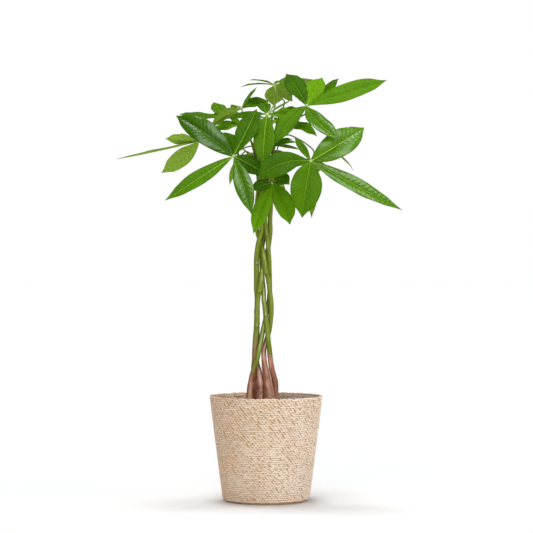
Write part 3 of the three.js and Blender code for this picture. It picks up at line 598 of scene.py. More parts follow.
def blade_material(settings, name, upper, roughness, specular):
    """A living leaflet's skin: green, with a pale midrib and faint pale side veins. A young upper side is
    waxy and gleams, an older one has dulled, and the underside is paler, duller and has stronger veins."""
    material, tree = new_material(name)
    tone, vein, rib, rib_tone, margin, dry = (
        add_node(tree, "ShaderNodeAttribute", attribute_name=attribute).outputs["Fac"]
        for attribute in ("leaf_tone", "vein", "rib", "rib_tone", "margin", "dry"))
    where = add_node(tree, "ShaderNodeTexCoord").outputs["Object"]
    # Uneven colour, about 25 mm across, and fine mottling of 2 mm.
    clouds = add_node(tree, "ShaderNodeTexNoise", {"Vector": where, "Scale": 1 / (25 * MM), "Detail": 2.0})
    mottle = add_node(tree, "ShaderNodeTexNoise", {"Vector": where, "Scale": 1 / (2 * MM), "Detail": 3.0})
    centred = add_node(tree, "ShaderNodeMath", {0: clouds, 1: 0.5}, operation="SUBTRACT")
    # The tone is partly the blade's age and partly painted light: a light tone also stands for light shining
    # through the blade from behind.
    share = add_node(tree, "ShaderNodeMath", {0: centred, 1: 0.35, 2: tone}, operation="MULTIPLY_ADD")
    if upper:
        base = add_node(tree, "ShaderNodeMix", {
            0: share, 6: (*settings.old, 1), 7: (*settings.young, 1)}, data_type="RGBA")
    else:
        base = add_node(tree, "ShaderNodeMix", {
            0: share, 6: srgb("#6f9428"), 7: (*settings.under, 1)}, data_type="RGBA")
    mottled = add_node(tree, "ShaderNodeMapRange", {
        "Value": mottle, "From Min": 0.3, "From Max": 0.7, "To Min": 0.97, "To Max": 1.03})
    base = add_node(tree, "ShaderNodeMix", {
        0: 1.0, 6: base, 7: mottled}, data_type="RGBA", blend_type="MULTIPLY")
    # Side veins: the vein attribute counts them along the midrib, so it is whole on each one.
    gap = add_node(tree, "ShaderNodeMath", {0: vein, 1: 0.5}, operation="PINGPONG")
    line = add_node(tree, "ShaderNodeMapRange", {
        "Value": gap, "From Min": 0.03, "From Max": 0.15, "To Min": 1.0, "To Max": 0.0},
        interpolation_type="SMOOTHSTEP")
    side_fade = add_node(tree, "ShaderNodeMapRange", {
        "Value": margin, "From Min": 0.6, "From Max": 1.0, "To Min": 1.0, "To Max": 0.0})
    veined = add_node(tree, "ShaderNodeMath", {0: line, 1: side_fade}, operation="MULTIPLY")
    veil = add_node(tree, "ShaderNodeMath", {0: veined, 1: 0.07 if upper else 0.3}, operation="MULTIPLY")
    base = add_node(tree, "ShaderNodeMix", {0: veil, 6: base, 7: (*settings.rib, 1)}, data_type="RGBA")
    # The midrib: the rib attribute is 1 at its edge.
    ribbed = add_node(tree, "ShaderNodeMapRange", {
        "Value": rib, "From Min": 0.7, "From Max": 1.5, "To Min": 1.0, "To Max": 0.0},
        interpolation_type="SMOOTHSTEP")
    # Some midribs are nearly white and some as green as the blade.
    paled = add_node(tree, "ShaderNodeMath", {0: ribbed, 1: rib_tone}, operation="MULTIPLY")
    base = add_node(tree, "ShaderNodeMix", {0: paled, 6: base, 7: (*settings.rib, 1)}, data_type="RGBA")
    base = add_node(tree, "ShaderNodeMix", {0: dry, 6: base, 7: (*settings.dry, 1)}, data_type="RGBA")
    # The blade sinks over 3 mm towards each side vein, and towards the midrib.
    sunk = add_node(tree, "ShaderNodeMapRange", {
        "Value": gap, "From Min": 0.0, "From Max": 0.32, "To Min": 1.0, "To Max": 0.0},
        interpolation_type="SMOOTHSTEP")
    sunken = add_node(tree, "ShaderNodeMath", {0: sunk, 1: side_fade}, operation="MULTIPLY")
    lines = add_node(tree, "ShaderNodeMath", {0: sunken, 1: ribbed}, operation="MAXIMUM")
    height = add_node(tree, "ShaderNodeMath", {0: lines, 1: -0.5 if upper else 0.6}, operation="MULTIPLY")
    finish_material(tree, base, roughness, height, 0.25 * MM, Specular_IOR_Level=specular)
    return material


def stalk_material(settings):
    """A living leaf stalk: smooth, yellowish green, paler at the hub and brownish at the foot."""
    material, tree = new_material("leaf stalk")
    pale = add_node(tree, "ShaderNodeAttribute", attribute_name="rib").outputs["Fac"]
    where = add_node(tree, "ShaderNodeTexCoord").outputs["Object"]
    streaks = add_node(tree, "ShaderNodeTexNoise", {"Vector": where, "Scale": 1 / (6 * MM), "Detail": 3.0})
    green = add_node(tree, "ShaderNodeMix", {
        0: streaks, 6: srgb("#667c30"), 7: (*settings.stalk, 1)}, data_type="RGBA")
    # Darker and browner towards the foot of the stalk, by the trunk.
    grown = add_node(tree, "ShaderNodeAttribute", attribute_name="leaf_tone").outputs["Fac"]
    darker_to_foot = add_node(tree, "ShaderNodeMapRange", {
        "Value": grown, "From Min": 0.05, "From Max": 0.45, "To Min": 0.85, "To Max": 0.0})
    base = add_node(tree, "ShaderNodeMix", {0: darker_to_foot, 6: green, 7: srgb("#3f3d1e")}, data_type="RGBA")
    colour = add_node(tree, "ShaderNodeMix", {0: pale, 6: base, 7: srgb("#cfdc9c")}, data_type="RGBA")
    finish_material(tree, colour, 0.45, streaks, 0.2 * MM, Specular_IOR_Level=0.1)
    return material


# ---- Curves ----------------------------------------------------------------------------------------------
def eased_share(distance, span):
    """0 below 0 and 1 above span, with a smooth change between."""
    t = min(1.0, max(0.0, distance / span))
    return t * t * (3 - 2 * t)


def hermite(t, start, end, leave, arrive):
    """The point at t, from 0 to 1, of a cubic curve that leaves its start and arrives at its end at given
    speeds."""
    return (start * (2 * t ** 3 - 3 * t ** 2 + 1) + end * (3 * t ** 2 - 2 * t ** 3)
            + leave * (t ** 3 - 2 * t ** 2 + t) + arrive * (t ** 3 - t ** 2))


def eased(heights, z, column):
    """A smooth curve through a column of values at heights z."""
    slopes = np.gradient(column, z)
    index = np.clip(np.searchsorted(z, heights, side="right") - 1, 0, len(z) - 2)
    span = z[index + 1] - z[index]
    return hermite((heights - z[index]) / span, column[index], column[index + 1],
                   slopes[index] * span, slopes[index + 1] * span)


def smooth_path(places, step):
    """Points on a centripetal Catmull-Rom curve through places, about a step apart, in mm."""
    ends = [places[0] * 2 - places[1], *places, places[-1] * 2 - places[-2]]
    path = [places[0]]
    for before, start, end, after in zip(ends, ends[1:], ends[2:], ends[3:]):
        first, middle, last = (
            max(1e-4, (b - a).length_squared ** 0.25)
            for a, b in ((before, start), (start, end), (end, after)))
        direct = (end - start) / middle
        leave = ((start - before) / first - (end - before) / (first + middle) + direct) * middle
        arrive = (direct - (after - start) / (middle + last) + (after - end) / last) * middle
        count = max(2, round((end - start).length / step))
        path.extend(hermite(i / count, start, end, leave, arrive) for i in range(1, count + 1))
    return path


# ---- Meshes ----------------------------------------------------------------------------------------------
class Skin:
    """Gathers the points, faces and point values of one piece's mesh, in metres."""

    def __init__(self, *value_names):
        self.points, self.faces, self.slots = [], [], []
        self.values = {name: [] for name in value_names}

    def add(self, points, faces, slot=0, **values):
        start = len(self.points)
        self.points.extend(points)
        self.faces.extend([start + corner for corner in face] for face in faces)
        self.slots.extend(slot if isinstance(slot, list) else [slot] * len(faces))
        for name, column in self.values.items():
            given = values.get(name, 0.0)
            column.extend(given if isinstance(given, list) else [given] * len(points))

    def piece(self, name, materials):
        """The finished object, at the origin, with its faces smooth."""
        mesh = bpy.data.meshes.new(name)
        mesh.from_pydata([tuple(point) for point in self.points], [], self.faces)
        for material in materials:
            mesh.materials.append(material)
        mesh.polygons.foreach_set("material_index", self.slots)
        mesh.shade_smooth()
        for value_name, column in self.values.items():
            if column and isinstance(column[0], (tuple, list, Vector)):
                attribute = mesh.attributes.new(value_name, "FLOAT_VECTOR", "POINT")
                attribute.data.foreach_set("vector", [part for each in column for part in each])
            else:
                attribute = mesh.attributes.new(value_name, "FLOAT", "POINT")
                attribute.data.foreach_set("value", column)
        mesh.update()
        return link_piece(name, mesh)


def link_piece(name, mesh):
    """Puts a mesh in the scene as a piece at the origin."""
    piece = bpy.data.objects.new(name, mesh)
    bpy.context.scene.collection.objects.link(piece)
    return piece


def place_on_tree(piece, slot, *nodes):
    """Says which body a finished piece moves with and which solids it stands for. Slot, what it is made of,
    is not used.
    """
    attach(piece, BODY)
    if nodes:
        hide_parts(*nodes)


def loft_faces(rings, sides):
    """The faces of a closed skin over rings of points, which run anticlockwise seen from the last ring."""
    faces = []
    for ring in range(rings - 1):
        for side in range(sides):
            after = (side + 1) % sides
            low, high = ring * sides, (ring + 1) * sides
            faces.append((low + side, low + after, high + after, high + side))
    last = (rings - 1) * sides
    faces.append(tuple(reversed(range(sides))))
    faces.append(tuple(range(last, last + sides)))
    return faces


def turned_mesh(name, profile, segments, wobble=None):
    """A closed mesh turned about Z from a profile of (radius, height), which starts and ends on the axis
    and has the solid on its left. Wobble moves a point, given its place and the profile's row."""
    points, faces, rows = [], [], []
    for row, (radius, height) in enumerate(profile):
        if radius == 0:
            rows.append([len(points)] * segments)
            points.append(Vector((0, 0, height)))
            continue
        rows.append(list(range(len(points), len(points) + segments)))
        for step in range(segments):
            angle = 2 * math.pi * step / segments
            point = Vector((radius * math.cos(angle), radius * math.sin(angle), height))
            points.append(wobble(point, row) if wobble else point)
    for low, high in zip(rows, rows[1:]):
        for step in range(segments):
            after = (step + 1) % segments
            face = [low[step], low[after], high[after], high[step]]
            face = [corner for i, corner in enumerate(face) if corner not in face[:i]]
            if len(face) > 2:
                faces.append(face)
    mesh = bpy.data.meshes.new(name)
    mesh.from_pydata([tuple(point) for point in points], [], faces)
    mesh.shade_smooth()
    return mesh


def grown_mesh(name, carrier, tree, values):
    """Runs a Geometry Nodes tree on a mesh, with its named inputs set, and returns the result as a plain
    mesh."""
    grower = bpy.data.objects.new(name, carrier)
    bpy.context.scene.collection.objects.link(grower)
    modifier = grower.modifiers.new(name, "NODES")
    modifier.node_group = tree
    for socket in tree.interface.items_tree:
        if socket.in_out == "INPUT" and socket.name in values:
            modifier[socket.identifier] = values[socket.name]
    depsgraph = bpy.context.evaluated_depsgraph_get()
    evaluated = grower.evaluated_get(depsgraph)
    mesh = bpy.data.meshes.new_from_object(evaluated, preserve_all_data_layers=True, depsgraph=depsgraph)
    grower.modifiers.remove(modifier)
    bpy.data.objects.remove(grower)
    return mesh


def joined_piece(name, meshes):
    """One piece made of several meshes."""
    parts = [link_piece(name, mesh) for mesh in meshes]
    bpy.ops.object.select_all(action="DESELECT")
    for part in parts:
        part.select_set(True)
    bpy.context.view_layer.objects.active = parts[0]
    bpy.ops.object.join()
    piece = bpy.context.view_layer.objects.active
    piece.select_set(False)
    piece.name = name
    return piece


def growing_tree(name, inputs):
    """A Geometry Nodes tree from a mesh to a mesh with more inputs, given by name and kind, and what they
    give."""
    tree = bpy.data.node_groups.new(name, "GeometryNodeTree")
    tree.interface.new_socket("Geometry", in_out="OUTPUT", socket_type="NodeSocketGeometry")
    for socket, kind in {"Geometry": "Geometry", **inputs}.items():
        tree.interface.new_socket(socket, in_out="INPUT", socket_type=f"NodeSocket{kind}")
    return tree, add_node(tree, "NodeGroupInput").outputs


# ---- Basket ----------------------------------------------------------------------------------------------
def coil_tree():
    """A Geometry Nodes tree for rope coiled round Z: strands on a helix from one height to another, on a wall
    whose radius runs from a foot radius at the floor to a rim radius at the basket's height."""
    tree, given = growing_tree("rope coil", {
        "Strands": "Int", "Strands per Turn": "Float", "Start Height": "Float", "Row Pitch": "Float",
        "Basket Height": "Float", "Foot Radius": "Float", "Rim Radius": "Float", "Corner Height": "Float",
        "Corner Inset": "Float", "Strand Size": "Vector", "Slant": "Float", "Slant Spread": "Float",
        "Lean": "Float", "Stray": "Float", "Seed": "Int", "Rope": "Material",
    })
    index = add_node(tree, "GeometryNodeInputIndex")
    slip = add_node(tree, "FunctionNodeRandomValue", {
        2: -0.24, 3: 0.24, "Seed": given["Seed"]}, data_type="FLOAT")
    slipped = add_node(tree, "ShaderNodeMath", {0: index, 1: slip}, operation="ADD")
    turn = add_node(tree, "ShaderNodeMath", {0: slipped, 1: given["Strands per Turn"]}, operation="DIVIDE")
    angle = add_node(tree, "ShaderNodeMath", {0: turn, 1: 2 * math.pi}, operation="MULTIPLY")
    height = add_node(tree, "ShaderNodeMath", {
        0: turn, 1: given["Row Pitch"], 2: given["Start Height"]}, operation="MULTIPLY_ADD")
    straight = add_node(tree, "ShaderNodeMapRange", {
        "Value": height, "From Min": 0.0, "From Max": given["Basket Height"],
        "To Min": given["Foot Radius"], "To Max": given["Rim Radius"]}, clamp=False)
    low = add_node(tree, "ShaderNodeMapRange", {
        "Value": height, "From Min": given["Corner Height"], "From Max": 0.0, "To Min": 0.0, "To Max": 1.0})
    tucked = add_node(tree, "ShaderNodeMath", {0: low, 1: 2.0}, operation="POWER")
    inset = add_node(tree, "ShaderNodeMath", {0: tucked, 1: given["Corner Inset"]}, operation="MULTIPLY")
    radius = add_node(tree, "ShaderNodeMath", {0: straight, 1: inset}, operation="SUBTRACT")
    outwards = add_node(tree, "ShaderNodeVectorRotate", {
        "Vector": add_node(tree, "ShaderNodeCombineXYZ", {"X": radius, "Z": height}), "Angle": angle},
        rotation_type="Z_AXIS")
    least = add_node(tree, "ShaderNodeMath", {0: given["Stray"], 1: -1.0}, operation="MULTIPLY")
    stray = add_node(tree, "FunctionNodeRandomValue", {
        0: add_node(tree, "ShaderNodeCombineXYZ", {"X": least, "Y": least, "Z": least}),
        1: add_node(tree, "ShaderNodeCombineXYZ", {
            "X": given["Stray"], "Y": given["Stray"], "Z": given["Stray"]}),
        "Seed": given["Seed"]}, data_type="FLOAT_VECTOR")
    strayed = add_node(tree, "ShaderNodeVectorMath", {0: outwards, 1: stray}, operation="ADD")
    points = add_node(tree, "GeometryNodePoints", {"Count": given["Strands"], "Position": strayed})
    # A strand lies along Y with its outer side on +X, and keeps its own place as an attribute.
    bead = add_node(tree, "GeometryNodeMeshUVSphere", {"Segments": 5, "Rings": 4, "Radius": 0.5})
    laid = add_node(tree, "GeometryNodeTransform", {"Geometry": bead, "Rotation": (math.pi / 2, 0.0, 0.0)})
    sized = add_node(tree, "GeometryNodeTransform", {"Geometry": laid, "Scale": given["Strand Size"]})
    placed = add_node(tree, "GeometryNodeStoreNamedAttribute", {
        "Geometry": sized, "Name": "strand_place", "Value": add_node(tree, "GeometryNodeInputPosition")},
        data_type="FLOAT_VECTOR", domain="POINT")
    smooth = add_node(tree, "GeometryNodeSetShadeSmooth", {"Geometry": placed})
    wander = add_node(tree, "FunctionNodeRandomValue", {
        2: add_node(tree, "ShaderNodeMath", {0: given["Slant Spread"], 1: -1.0}, operation="MULTIPLY"),
        3: given["Slant Spread"], "Seed": given["Seed"]}, data_type="FLOAT")
    slant = add_node(tree, "ShaderNodeMath", {0: given["Slant"], 1: wander}, operation="ADD")
    turned = add_node(tree, "FunctionNodeEulerToRotation", {
        "Euler": add_node(tree, "ShaderNodeCombineXYZ", {"X": slant, "Y": given["Lean"], "Z": angle})})
    growth = add_node(tree, "FunctionNodeRandomValue", {
        0: (0.85, 0.85, 0.85), 1: (1.1, 1.2, 1.12), "Seed": given["Seed"]}, data_type="FLOAT_VECTOR")
    strands = add_node(tree, "GeometryNodeInstanceOnPoints", {
        "Points": points, "Instance": smooth, "Rotation": turned, "Scale": growth})
    tone = add_node(tree, "FunctionNodeRandomValue", {
        2: 0.0, 3: 1.0, "Seed": given["Seed"]}, data_type="FLOAT")
    toned = add_node(tree, "GeometryNodeStoreNamedAttribute", {
        "Geometry": strands, "Name": "strand_tone", "Value": tone}, data_type="FLOAT", domain="INSTANCE")
    real = add_node(tree, "GeometryNodeRealizeInstances", {"Geometry": toned})
    roped = add_node(tree, "GeometryNodeSetMaterial", {"Geometry": real, "Material": given["Rope"]})
    add_node(tree, "NodeGroupOutput", {"Geometry": roped})
    return tree


class MONEYTREE_OT_basket(bpy.types.Operator):
    """Coils the rope basket round its woven core"""
    bl_idname = "moneytree.basket"
    bl_label = "Basket"

    def execute(self, context):
        basket = context.scene.moneytree_basket
        core = self.core(basket)
        core.materials.append(rope_core_material(basket))
        rope = rope_material(basket)
        tree = coil_tree()
        slope = (basket.rim_radius - basket.foot_radius) / basket.height
        lean = math.atan(slope)
        size = (basket.strand_depth, basket.strand_length, basket.strand_width)
        common = {
            "Basket Height": basket.height, "Corner Height": basket.corner, "Corner Inset": 6.5 * MM,
            "Row Pitch": basket.row_pitch, "Strand Size": size, "Slant": math.radians(-20),
            "Slant Spread": math.radians(13), "Lean": lean, "Stray": 0.35 * MM, "Rope": rope,
        }
        # How deep the middle of a strand lies: under the wall's outside, the rim's top and side, and the
        # wall's inside.
        outer_depth, rim_depth, inner_depth = 1.5 * MM, 2.6 * MM, 0.9 * MM
        # The half strand sets each row off by half against the one below it. The rim is one level ring.
        per_turn, inner_per_turn, rim_strands = 98.5, 92.5, 92
        first, last = 3.4 * MM, basket.height - 3.6 * MM
        rows = (last - first) / basket.row_pitch
        inner_rows = 7  # as far down as the liner's edge
        outside = {
            "Strands": round(rows * per_turn), "Strands per Turn": per_turn, "Start Height": first,
            "Foot Radius": basket.foot_radius - outer_depth,
            "Rim Radius": basket.rim_radius - outer_depth, "Seed": 3}
        inside = {
            "Strands": round(inner_rows * inner_per_turn), "Strands per Turn": inner_per_turn,
            "Start Height": last - inner_rows * basket.row_pitch,
            "Foot Radius": basket.foot_radius - basket.wall + inner_depth,
            "Rim Radius": basket.rim_radius - basket.wall + inner_depth, "Lean": lean + math.pi,
            "Slant": math.radians(20), "Seed": 11}
        rim = {
            "Strands": rim_strands, "Strands per Turn": float(rim_strands), "Row Pitch": 0.0,
            "Start Height": basket.height - rim_depth, "Foot Radius": basket.foot_radius - rim_depth,
            "Rim Radius": basket.rim_radius - rim_depth,
            "Strand Size": (3.9 * MM, 10 * MM, 3.7 * MM), "Slant": math.radians(-12),
            "Slant Spread": math.radians(5), "Seed": 23}
        empty = bpy.data.meshes.new("strands")
        woven = [grown_mesh("strands", empty, tree, {**common, **each}) for each in (outside, inside, rim)]
        piece = joined_piece("rope_basket", [core, *woven])
        place_on_tree(piece, "rope", "basket")
        return {"FINISHED"}

    def core(self, basket):
        """The shaded inner rope: a closed wall and foot, with the foot's coils on its underside."""
        def radius(height):
            return basket.foot_radius + (basket.rim_radius - basket.foot_radius) * height / basket.height
        shade = 2.6 * MM  # how deep the core lies under the strands' outside
        top = basket.height - 4 * MM
        inside = 1.4 * MM - basket.wall
        foot = basket.foot_radius - basket.corner
        profile = [(0, 0.4 * MM)]
        coils = round(foot / basket.row_pitch)
        for coil in range(1, coils + 1):
            profile.append(((coil - 0.5) * foot / coils, 0.0))
            profile.append((coil * foot / coils, 0.6 * MM if coil < coils else 0.2 * MM))
        profile.append((foot + 4 * MM, 1.8 * MM))
        profile.append((radius(basket.corner) - shade, basket.corner))
        profile.append((radius(basket.height) - shade, top))
        profile.append((radius(basket.height) + inside, top))
        profile.append((radius(basket.floor) + inside, basket.floor + 3 * MM))
        profile.append((radius(basket.floor) - basket.wall - 2 * MM, basket.floor))
        profile.append((0, basket.floor))
        return turned_mesh("rope core", profile, 96)


# ---- Liner, pot and soil ---------------------------------------------------------------------------------
class MONEYTREE_OT_liner(bpy.types.Operator):
    """Makes the plastic film liner inside the basket"""
    bl_idname = "moneytree.liner"
    bl_label = "Liner"

    def execute(self, context):
        pot = context.scene.moneytree_pot
        basket = context.scene.moneytree_basket
        wall = 0.8 * MM
        bottom = basket.floor + 0.3 * MM
        corner = 4 * MM

        def outer(height):
            slope = (basket.rim_radius - basket.foot_radius) / basket.height
            return basket.foot_radius + slope * height - basket.wall - 0.5 * MM
        rows = 24
        rise = pot.liner_top - bottom - corner
        heights = [bottom + corner + rise * row / rows for row in range(rows + 1)]
        profile = [(0, bottom), (outer(bottom) - 5 * MM, bottom)]
        profile += [(outer(height) - 1 * MM, height) for height in heights]
        profile += [(outer(height) - 1 * MM - wall, height) for height in reversed(heights)]
        profile += [(outer(bottom) - 5 * MM, bottom + wall), (0, bottom + wall)]

        def wrinkled(point, row):
            rise = max(0.0, point.z / pot.liner_top - 0.7) / 0.3
            push = noise.noise(Vector((point.x * 45, point.y * 45, point.z * 25))) * 0.5 * MM * rise
            flat = Vector((point.x, point.y, 0)).normalized()
            edge = noise.noise(Vector((flat.x * 3, flat.y * 3, 7.0))) * 2 * MM * rise ** 4
            return point - flat * abs(push) + Vector((0, 0, edge))
        mesh = turned_mesh("film_liner", profile, 128, wrinkled)
        mesh.materials.append(film_material(pot))
        place_on_tree(link_piece("film_liner", mesh), "liner", "liner")
        return {"FINISHED"}


def drilled_tree():
    """A Geometry Nodes tree that drills a circle of holes through a pot's foot."""
    tree, given = growing_tree("drain holes", {
        "Holes": "Int", "Circle Radius": "Float", "Hole Radius": "Float", "Foot Height": "Float",
        "Plastic": "Material"})
    circle = add_node(tree, "GeometryNodeMeshCircle", {
        "Vertices": given["Holes"], "Radius": given["Circle Radius"]})
    rise = add_node(tree, "ShaderNodeCombineXYZ", {"Z": given["Foot Height"]})
    raised = add_node(tree, "GeometryNodeTransform", {"Geometry": circle, "Translation": rise})
    drill = add_node(tree, "GeometryNodeMeshCylinder", {
        "Vertices": 20, "Radius": given["Hole Radius"], "Depth": 12 * MM})
    drills = add_node(tree, "GeometryNodeInstanceOnPoints", {"Points": raised, "Instance": drill})
    real = add_node(tree, "GeometryNodeRealizeInstances", {"Geometry": drills})
    drilled = add_node(tree, "GeometryNodeMeshBoolean", {
        "Mesh 1": given["Geometry"], "Mesh 2": real}, operation="DIFFERENCE")
    moulded = add_node(tree, "GeometryNodeSetMaterial", {"Geometry": drilled, "Material": given["Plastic"]})
    add_node(tree, "NodeGroupOutput", {"Geometry": moulded})
    return tree


class MONEYTREE_OT_nursery_pot(bpy.types.Operator):
    """Moulds the plastic nursery pot, with its rolled rim and drain holes"""
    bl_idname = "moneytree.nursery_pot"
    bl_label = "Nursery pot"

    def execute(self, context):
        pot = context.scene.moneytree_pot

        def outer(height):
            return pot.pot_foot + (pot.pot_rim - pot.pot_foot) * height / pot.pot_height
        wall, top, shelf = pot.pot_wall, pot.pot_height, pot.pot_height - pot.flange_depth
        rim, band = outer(top) + pot.flange, outer(shelf) + pot.flange
        lip = [(rim - wall / 2 + math.cos(a) * wall / 2, top - wall / 2 + math.sin(a) * wall / 2)
               for a in (math.pi * step / 6 for step in range(7))]
        profile = [
            (0, 0), (outer(0) - 2 * MM, 0), (outer(0), 1.5 * MM), (outer(shelf), shelf),
            (band - 0.6 * MM, shelf + 0.2 * MM), (band, shelf + 1 * MM),
            *lip, (band - wall, shelf + wall + 1 * MM), (outer(shelf) - wall, shelf + wall),
            (outer(wall) - wall, wall + 1.5 * MM), (outer(wall) - wall - 2 * MM, wall), (0, wall),
        ]
        profile = [(radius, height + pot.pot_bottom) for radius, height in profile]
        drilled = grown_mesh("nursery_pot_shell", turned_mesh("pot", profile, 96), drilled_tree(), {
            "Holes": 8, "Circle Radius": 48 * MM, "Hole Radius": 5 * MM, "Foot Height": pot.pot_bottom,
            "Plastic": pot_material(pot)})
        place_on_tree(link_piece("plastic_nursery_pot", drilled), "pot", "nursery_pot")
        return {"FINISHED"}


def scatter_tree():
    """A Geometry Nodes tree that strews crumbs of one kind over the upward faces of a surface."""
    tree, given = growing_tree("strewn crumbs", {
        "Density": "Float", "Crumb Size": "Vector", "Size Spread": "Float", "Lowest": "Float", "Seed": "Int",
        "Crumb": "Material"})
    place = add_node(tree, "ShaderNodeSeparateXYZ", {"Vector": add_node(tree, "GeometryNodeInputPosition")})
    facing = add_node(tree, "ShaderNodeSeparateXYZ", {"Vector": add_node(tree, "GeometryNodeInputNormal")})
    high = add_node(tree, "FunctionNodeCompare", {
        0: place.outputs["Z"], 1: given["Lowest"]}, operation="GREATER_THAN")
    upward = add_node(tree, "FunctionNodeCompare", {0: facing.outputs["Z"], 1: 0.3}, operation="GREATER_THAN")
    open_face = add_node(tree, "FunctionNodeBooleanMath", {0: high, 1: upward}, operation="AND")
    points = add_node(tree, "GeometryNodeDistributePointsOnFaces", {
        "Mesh": given["Geometry"], "Selection": open_face, "Density": given["Density"],
        "Seed": given["Seed"]})
    crumb = add_node(tree, "GeometryNodeMeshIcoSphere", {"Radius": 0.5, "Subdivisions": 2})
    rough = add_node(tree, "ShaderNodeTexNoise", {
        "Vector": add_node(tree, "GeometryNodeInputPosition"), "Scale": 2.2})
    knobbly = add_node(tree, "GeometryNodeSetPosition", {
        "Geometry": crumb, "Position": add_node(tree, "ShaderNodeVectorMath", {
            0: add_node(tree, "GeometryNodeInputPosition"),
            1: add_node(tree, "ShaderNodeMapRange", {"Value": rough, "To Min": 0.35, "To Max": 1.65})},
            operation="MULTIPLY")})
    sized = add_node(tree, "GeometryNodeTransform", {"Geometry": knobbly, "Scale": given["Crumb Size"]})
    turn = add_node(tree, "FunctionNodeRandomValue", {
        0: (-0.5, -0.5, 0.0), 1: (0.5, 0.5, TURN), "Seed": given["Seed"]}, data_type="FLOAT_VECTOR")
    small = add_node(tree, "ShaderNodeMath", {0: 1.0, 1: given["Size Spread"]}, operation="SUBTRACT")
    large = add_node(tree, "ShaderNodeMath", {0: 1.0, 1: given["Size Spread"]}, operation="ADD")
    growth = add_node(tree, "FunctionNodeRandomValue", {
        2: small, 3: large, "Seed": given["Seed"]}, data_type="FLOAT")
    crumbs = add_node(tree, "GeometryNodeInstanceOnPoints", {
        "Points": points, "Instance": sized, "Rotation": turn, "Scale": growth})
    tone = add_node(tree, "FunctionNodeRandomValue", {
        2: 0.0, 3: 1.0, "Seed": given["Seed"]}, data_type="FLOAT")
    toned = add_node(tree, "GeometryNodeStoreNamedAttribute", {
        "Geometry": crumbs, "Name": "chip_tone", "Value": tone}, data_type="FLOAT", domain="INSTANCE")
    real = add_node(tree, "GeometryNodeRealizeInstances", {"Geometry": toned})
    strewn = add_node(tree, "GeometryNodeSetMaterial", {"Geometry": real, "Material": given["Crumb"]})
    add_node(tree, "NodeGroupOutput", {"Geometry": strewn})
    return tree


class MONEYTREE_OT_soil(bpy.types.Operator):
    """Fills the pot with potting mix and strews bark chips and perlite on it"""
    bl_idname = "moneytree.soil"
    bl_label = "Soil"

    def execute(self, context):
        pot = context.scene.moneytree_pot
        slope = (pot.pot_rim - pot.pot_foot) / pot.pot_height
        bottom = pot.pot_bottom + pot.pot_wall + 0.3 * MM
        edge = pot.pot_bottom + pot.soil_depth - 1 * MM
        mound = 5 * MM

        def inner(height):
            return pot.pot_foot + slope * (height - pot.pot_bottom) - pot.pot_wall - 0.5 * MM
        profile = [(0, bottom), (inner(bottom), bottom), (inner(edge), edge)]
        rings = 22
        for ring in range(1, rings):
            share = 1 - ring / rings
            profile.append((inner(edge) * share, edge + mound * (1 - share * share)))
        profile.append((0, edge + mound))

        def crumbly(point, row):
            if row < 3:  # the foot and the wall
                return point
            coarse = noise.noise(Vector((point.x * 60, point.y * 60, 3.0))) * 1.6 * MM
            fine = noise.noise(Vector((point.x * 220, point.y * 220, 9.0))) * 0.8 * MM
            return point + Vector((0, 0, coarse + fine))
        mix = turned_mesh("mix", profile, 110, crumbly)
        peat = peat_material(pot)
        mix.materials.append(peat)
        tree = scatter_tree()
        strewn = []
        # Bark chips, perlite and peat: crumbs to a square metre, their size in mm, the share by which it
        # varies and the seed.
        kinds = (
            (11000, (8, 4.6, 3), 0.5, 5, chip_material(pot)),
            (2400, (2.9, 2.7, 2.6), 0.4, 8, perlite_material()),
            (20000, (3.9, 2.8, 2), 0.5, 13, peat))
        for density, size, spread, seed, crumb in kinds:
            strewn.append(grown_mesh("crumbs", mix.copy(), tree, {
                "Density": float(density), "Crumb Size": tuple(part * MM for part in size),
                "Size Spread": spread, "Lowest": edge - 2 * MM, "Seed": seed, "Crumb": crumb}))
        place_on_tree(joined_piece("potting_mix", [mix, *strewn]), "soil", "soil")
        return {"FINISHED"}


# ---- Trunks ----------------------------------------------------------------------------------------------
def trunk_places(trunk):
    """The places of a trunk's sections from its foot in the soil to its tip, as (x, y, z, radius) in mm."""
    foot_x, foot_y, foot_radius = trunk["sections"][0]
    top_x, top_y, top_radius = trunk["top_place"]
    return [
        (foot_x, foot_y, TRUNK_FOOT, foot_radius * 0.8), (foot_x, foot_y, TRUNK_FOOT + 6, foot_radius),
        *((x, y, z, radius) for (x, y, radius), z in zip(trunk["sections"], TRUNK_HEIGHTS)),
        (top_x, top_y, trunk["top"] - TRUNK_TIP, top_radius), (top_x, top_y, trunk["top"], top_radius * 0.45),
    ]


def trunk_centre(trunk, height):
    """The middle of a trunk at a height, in mm."""
    x, y, z, _ = np.array(trunk_places(trunk), float).T
    return Vector((np.interp(height, z, x), np.interp(height, z, y), height))


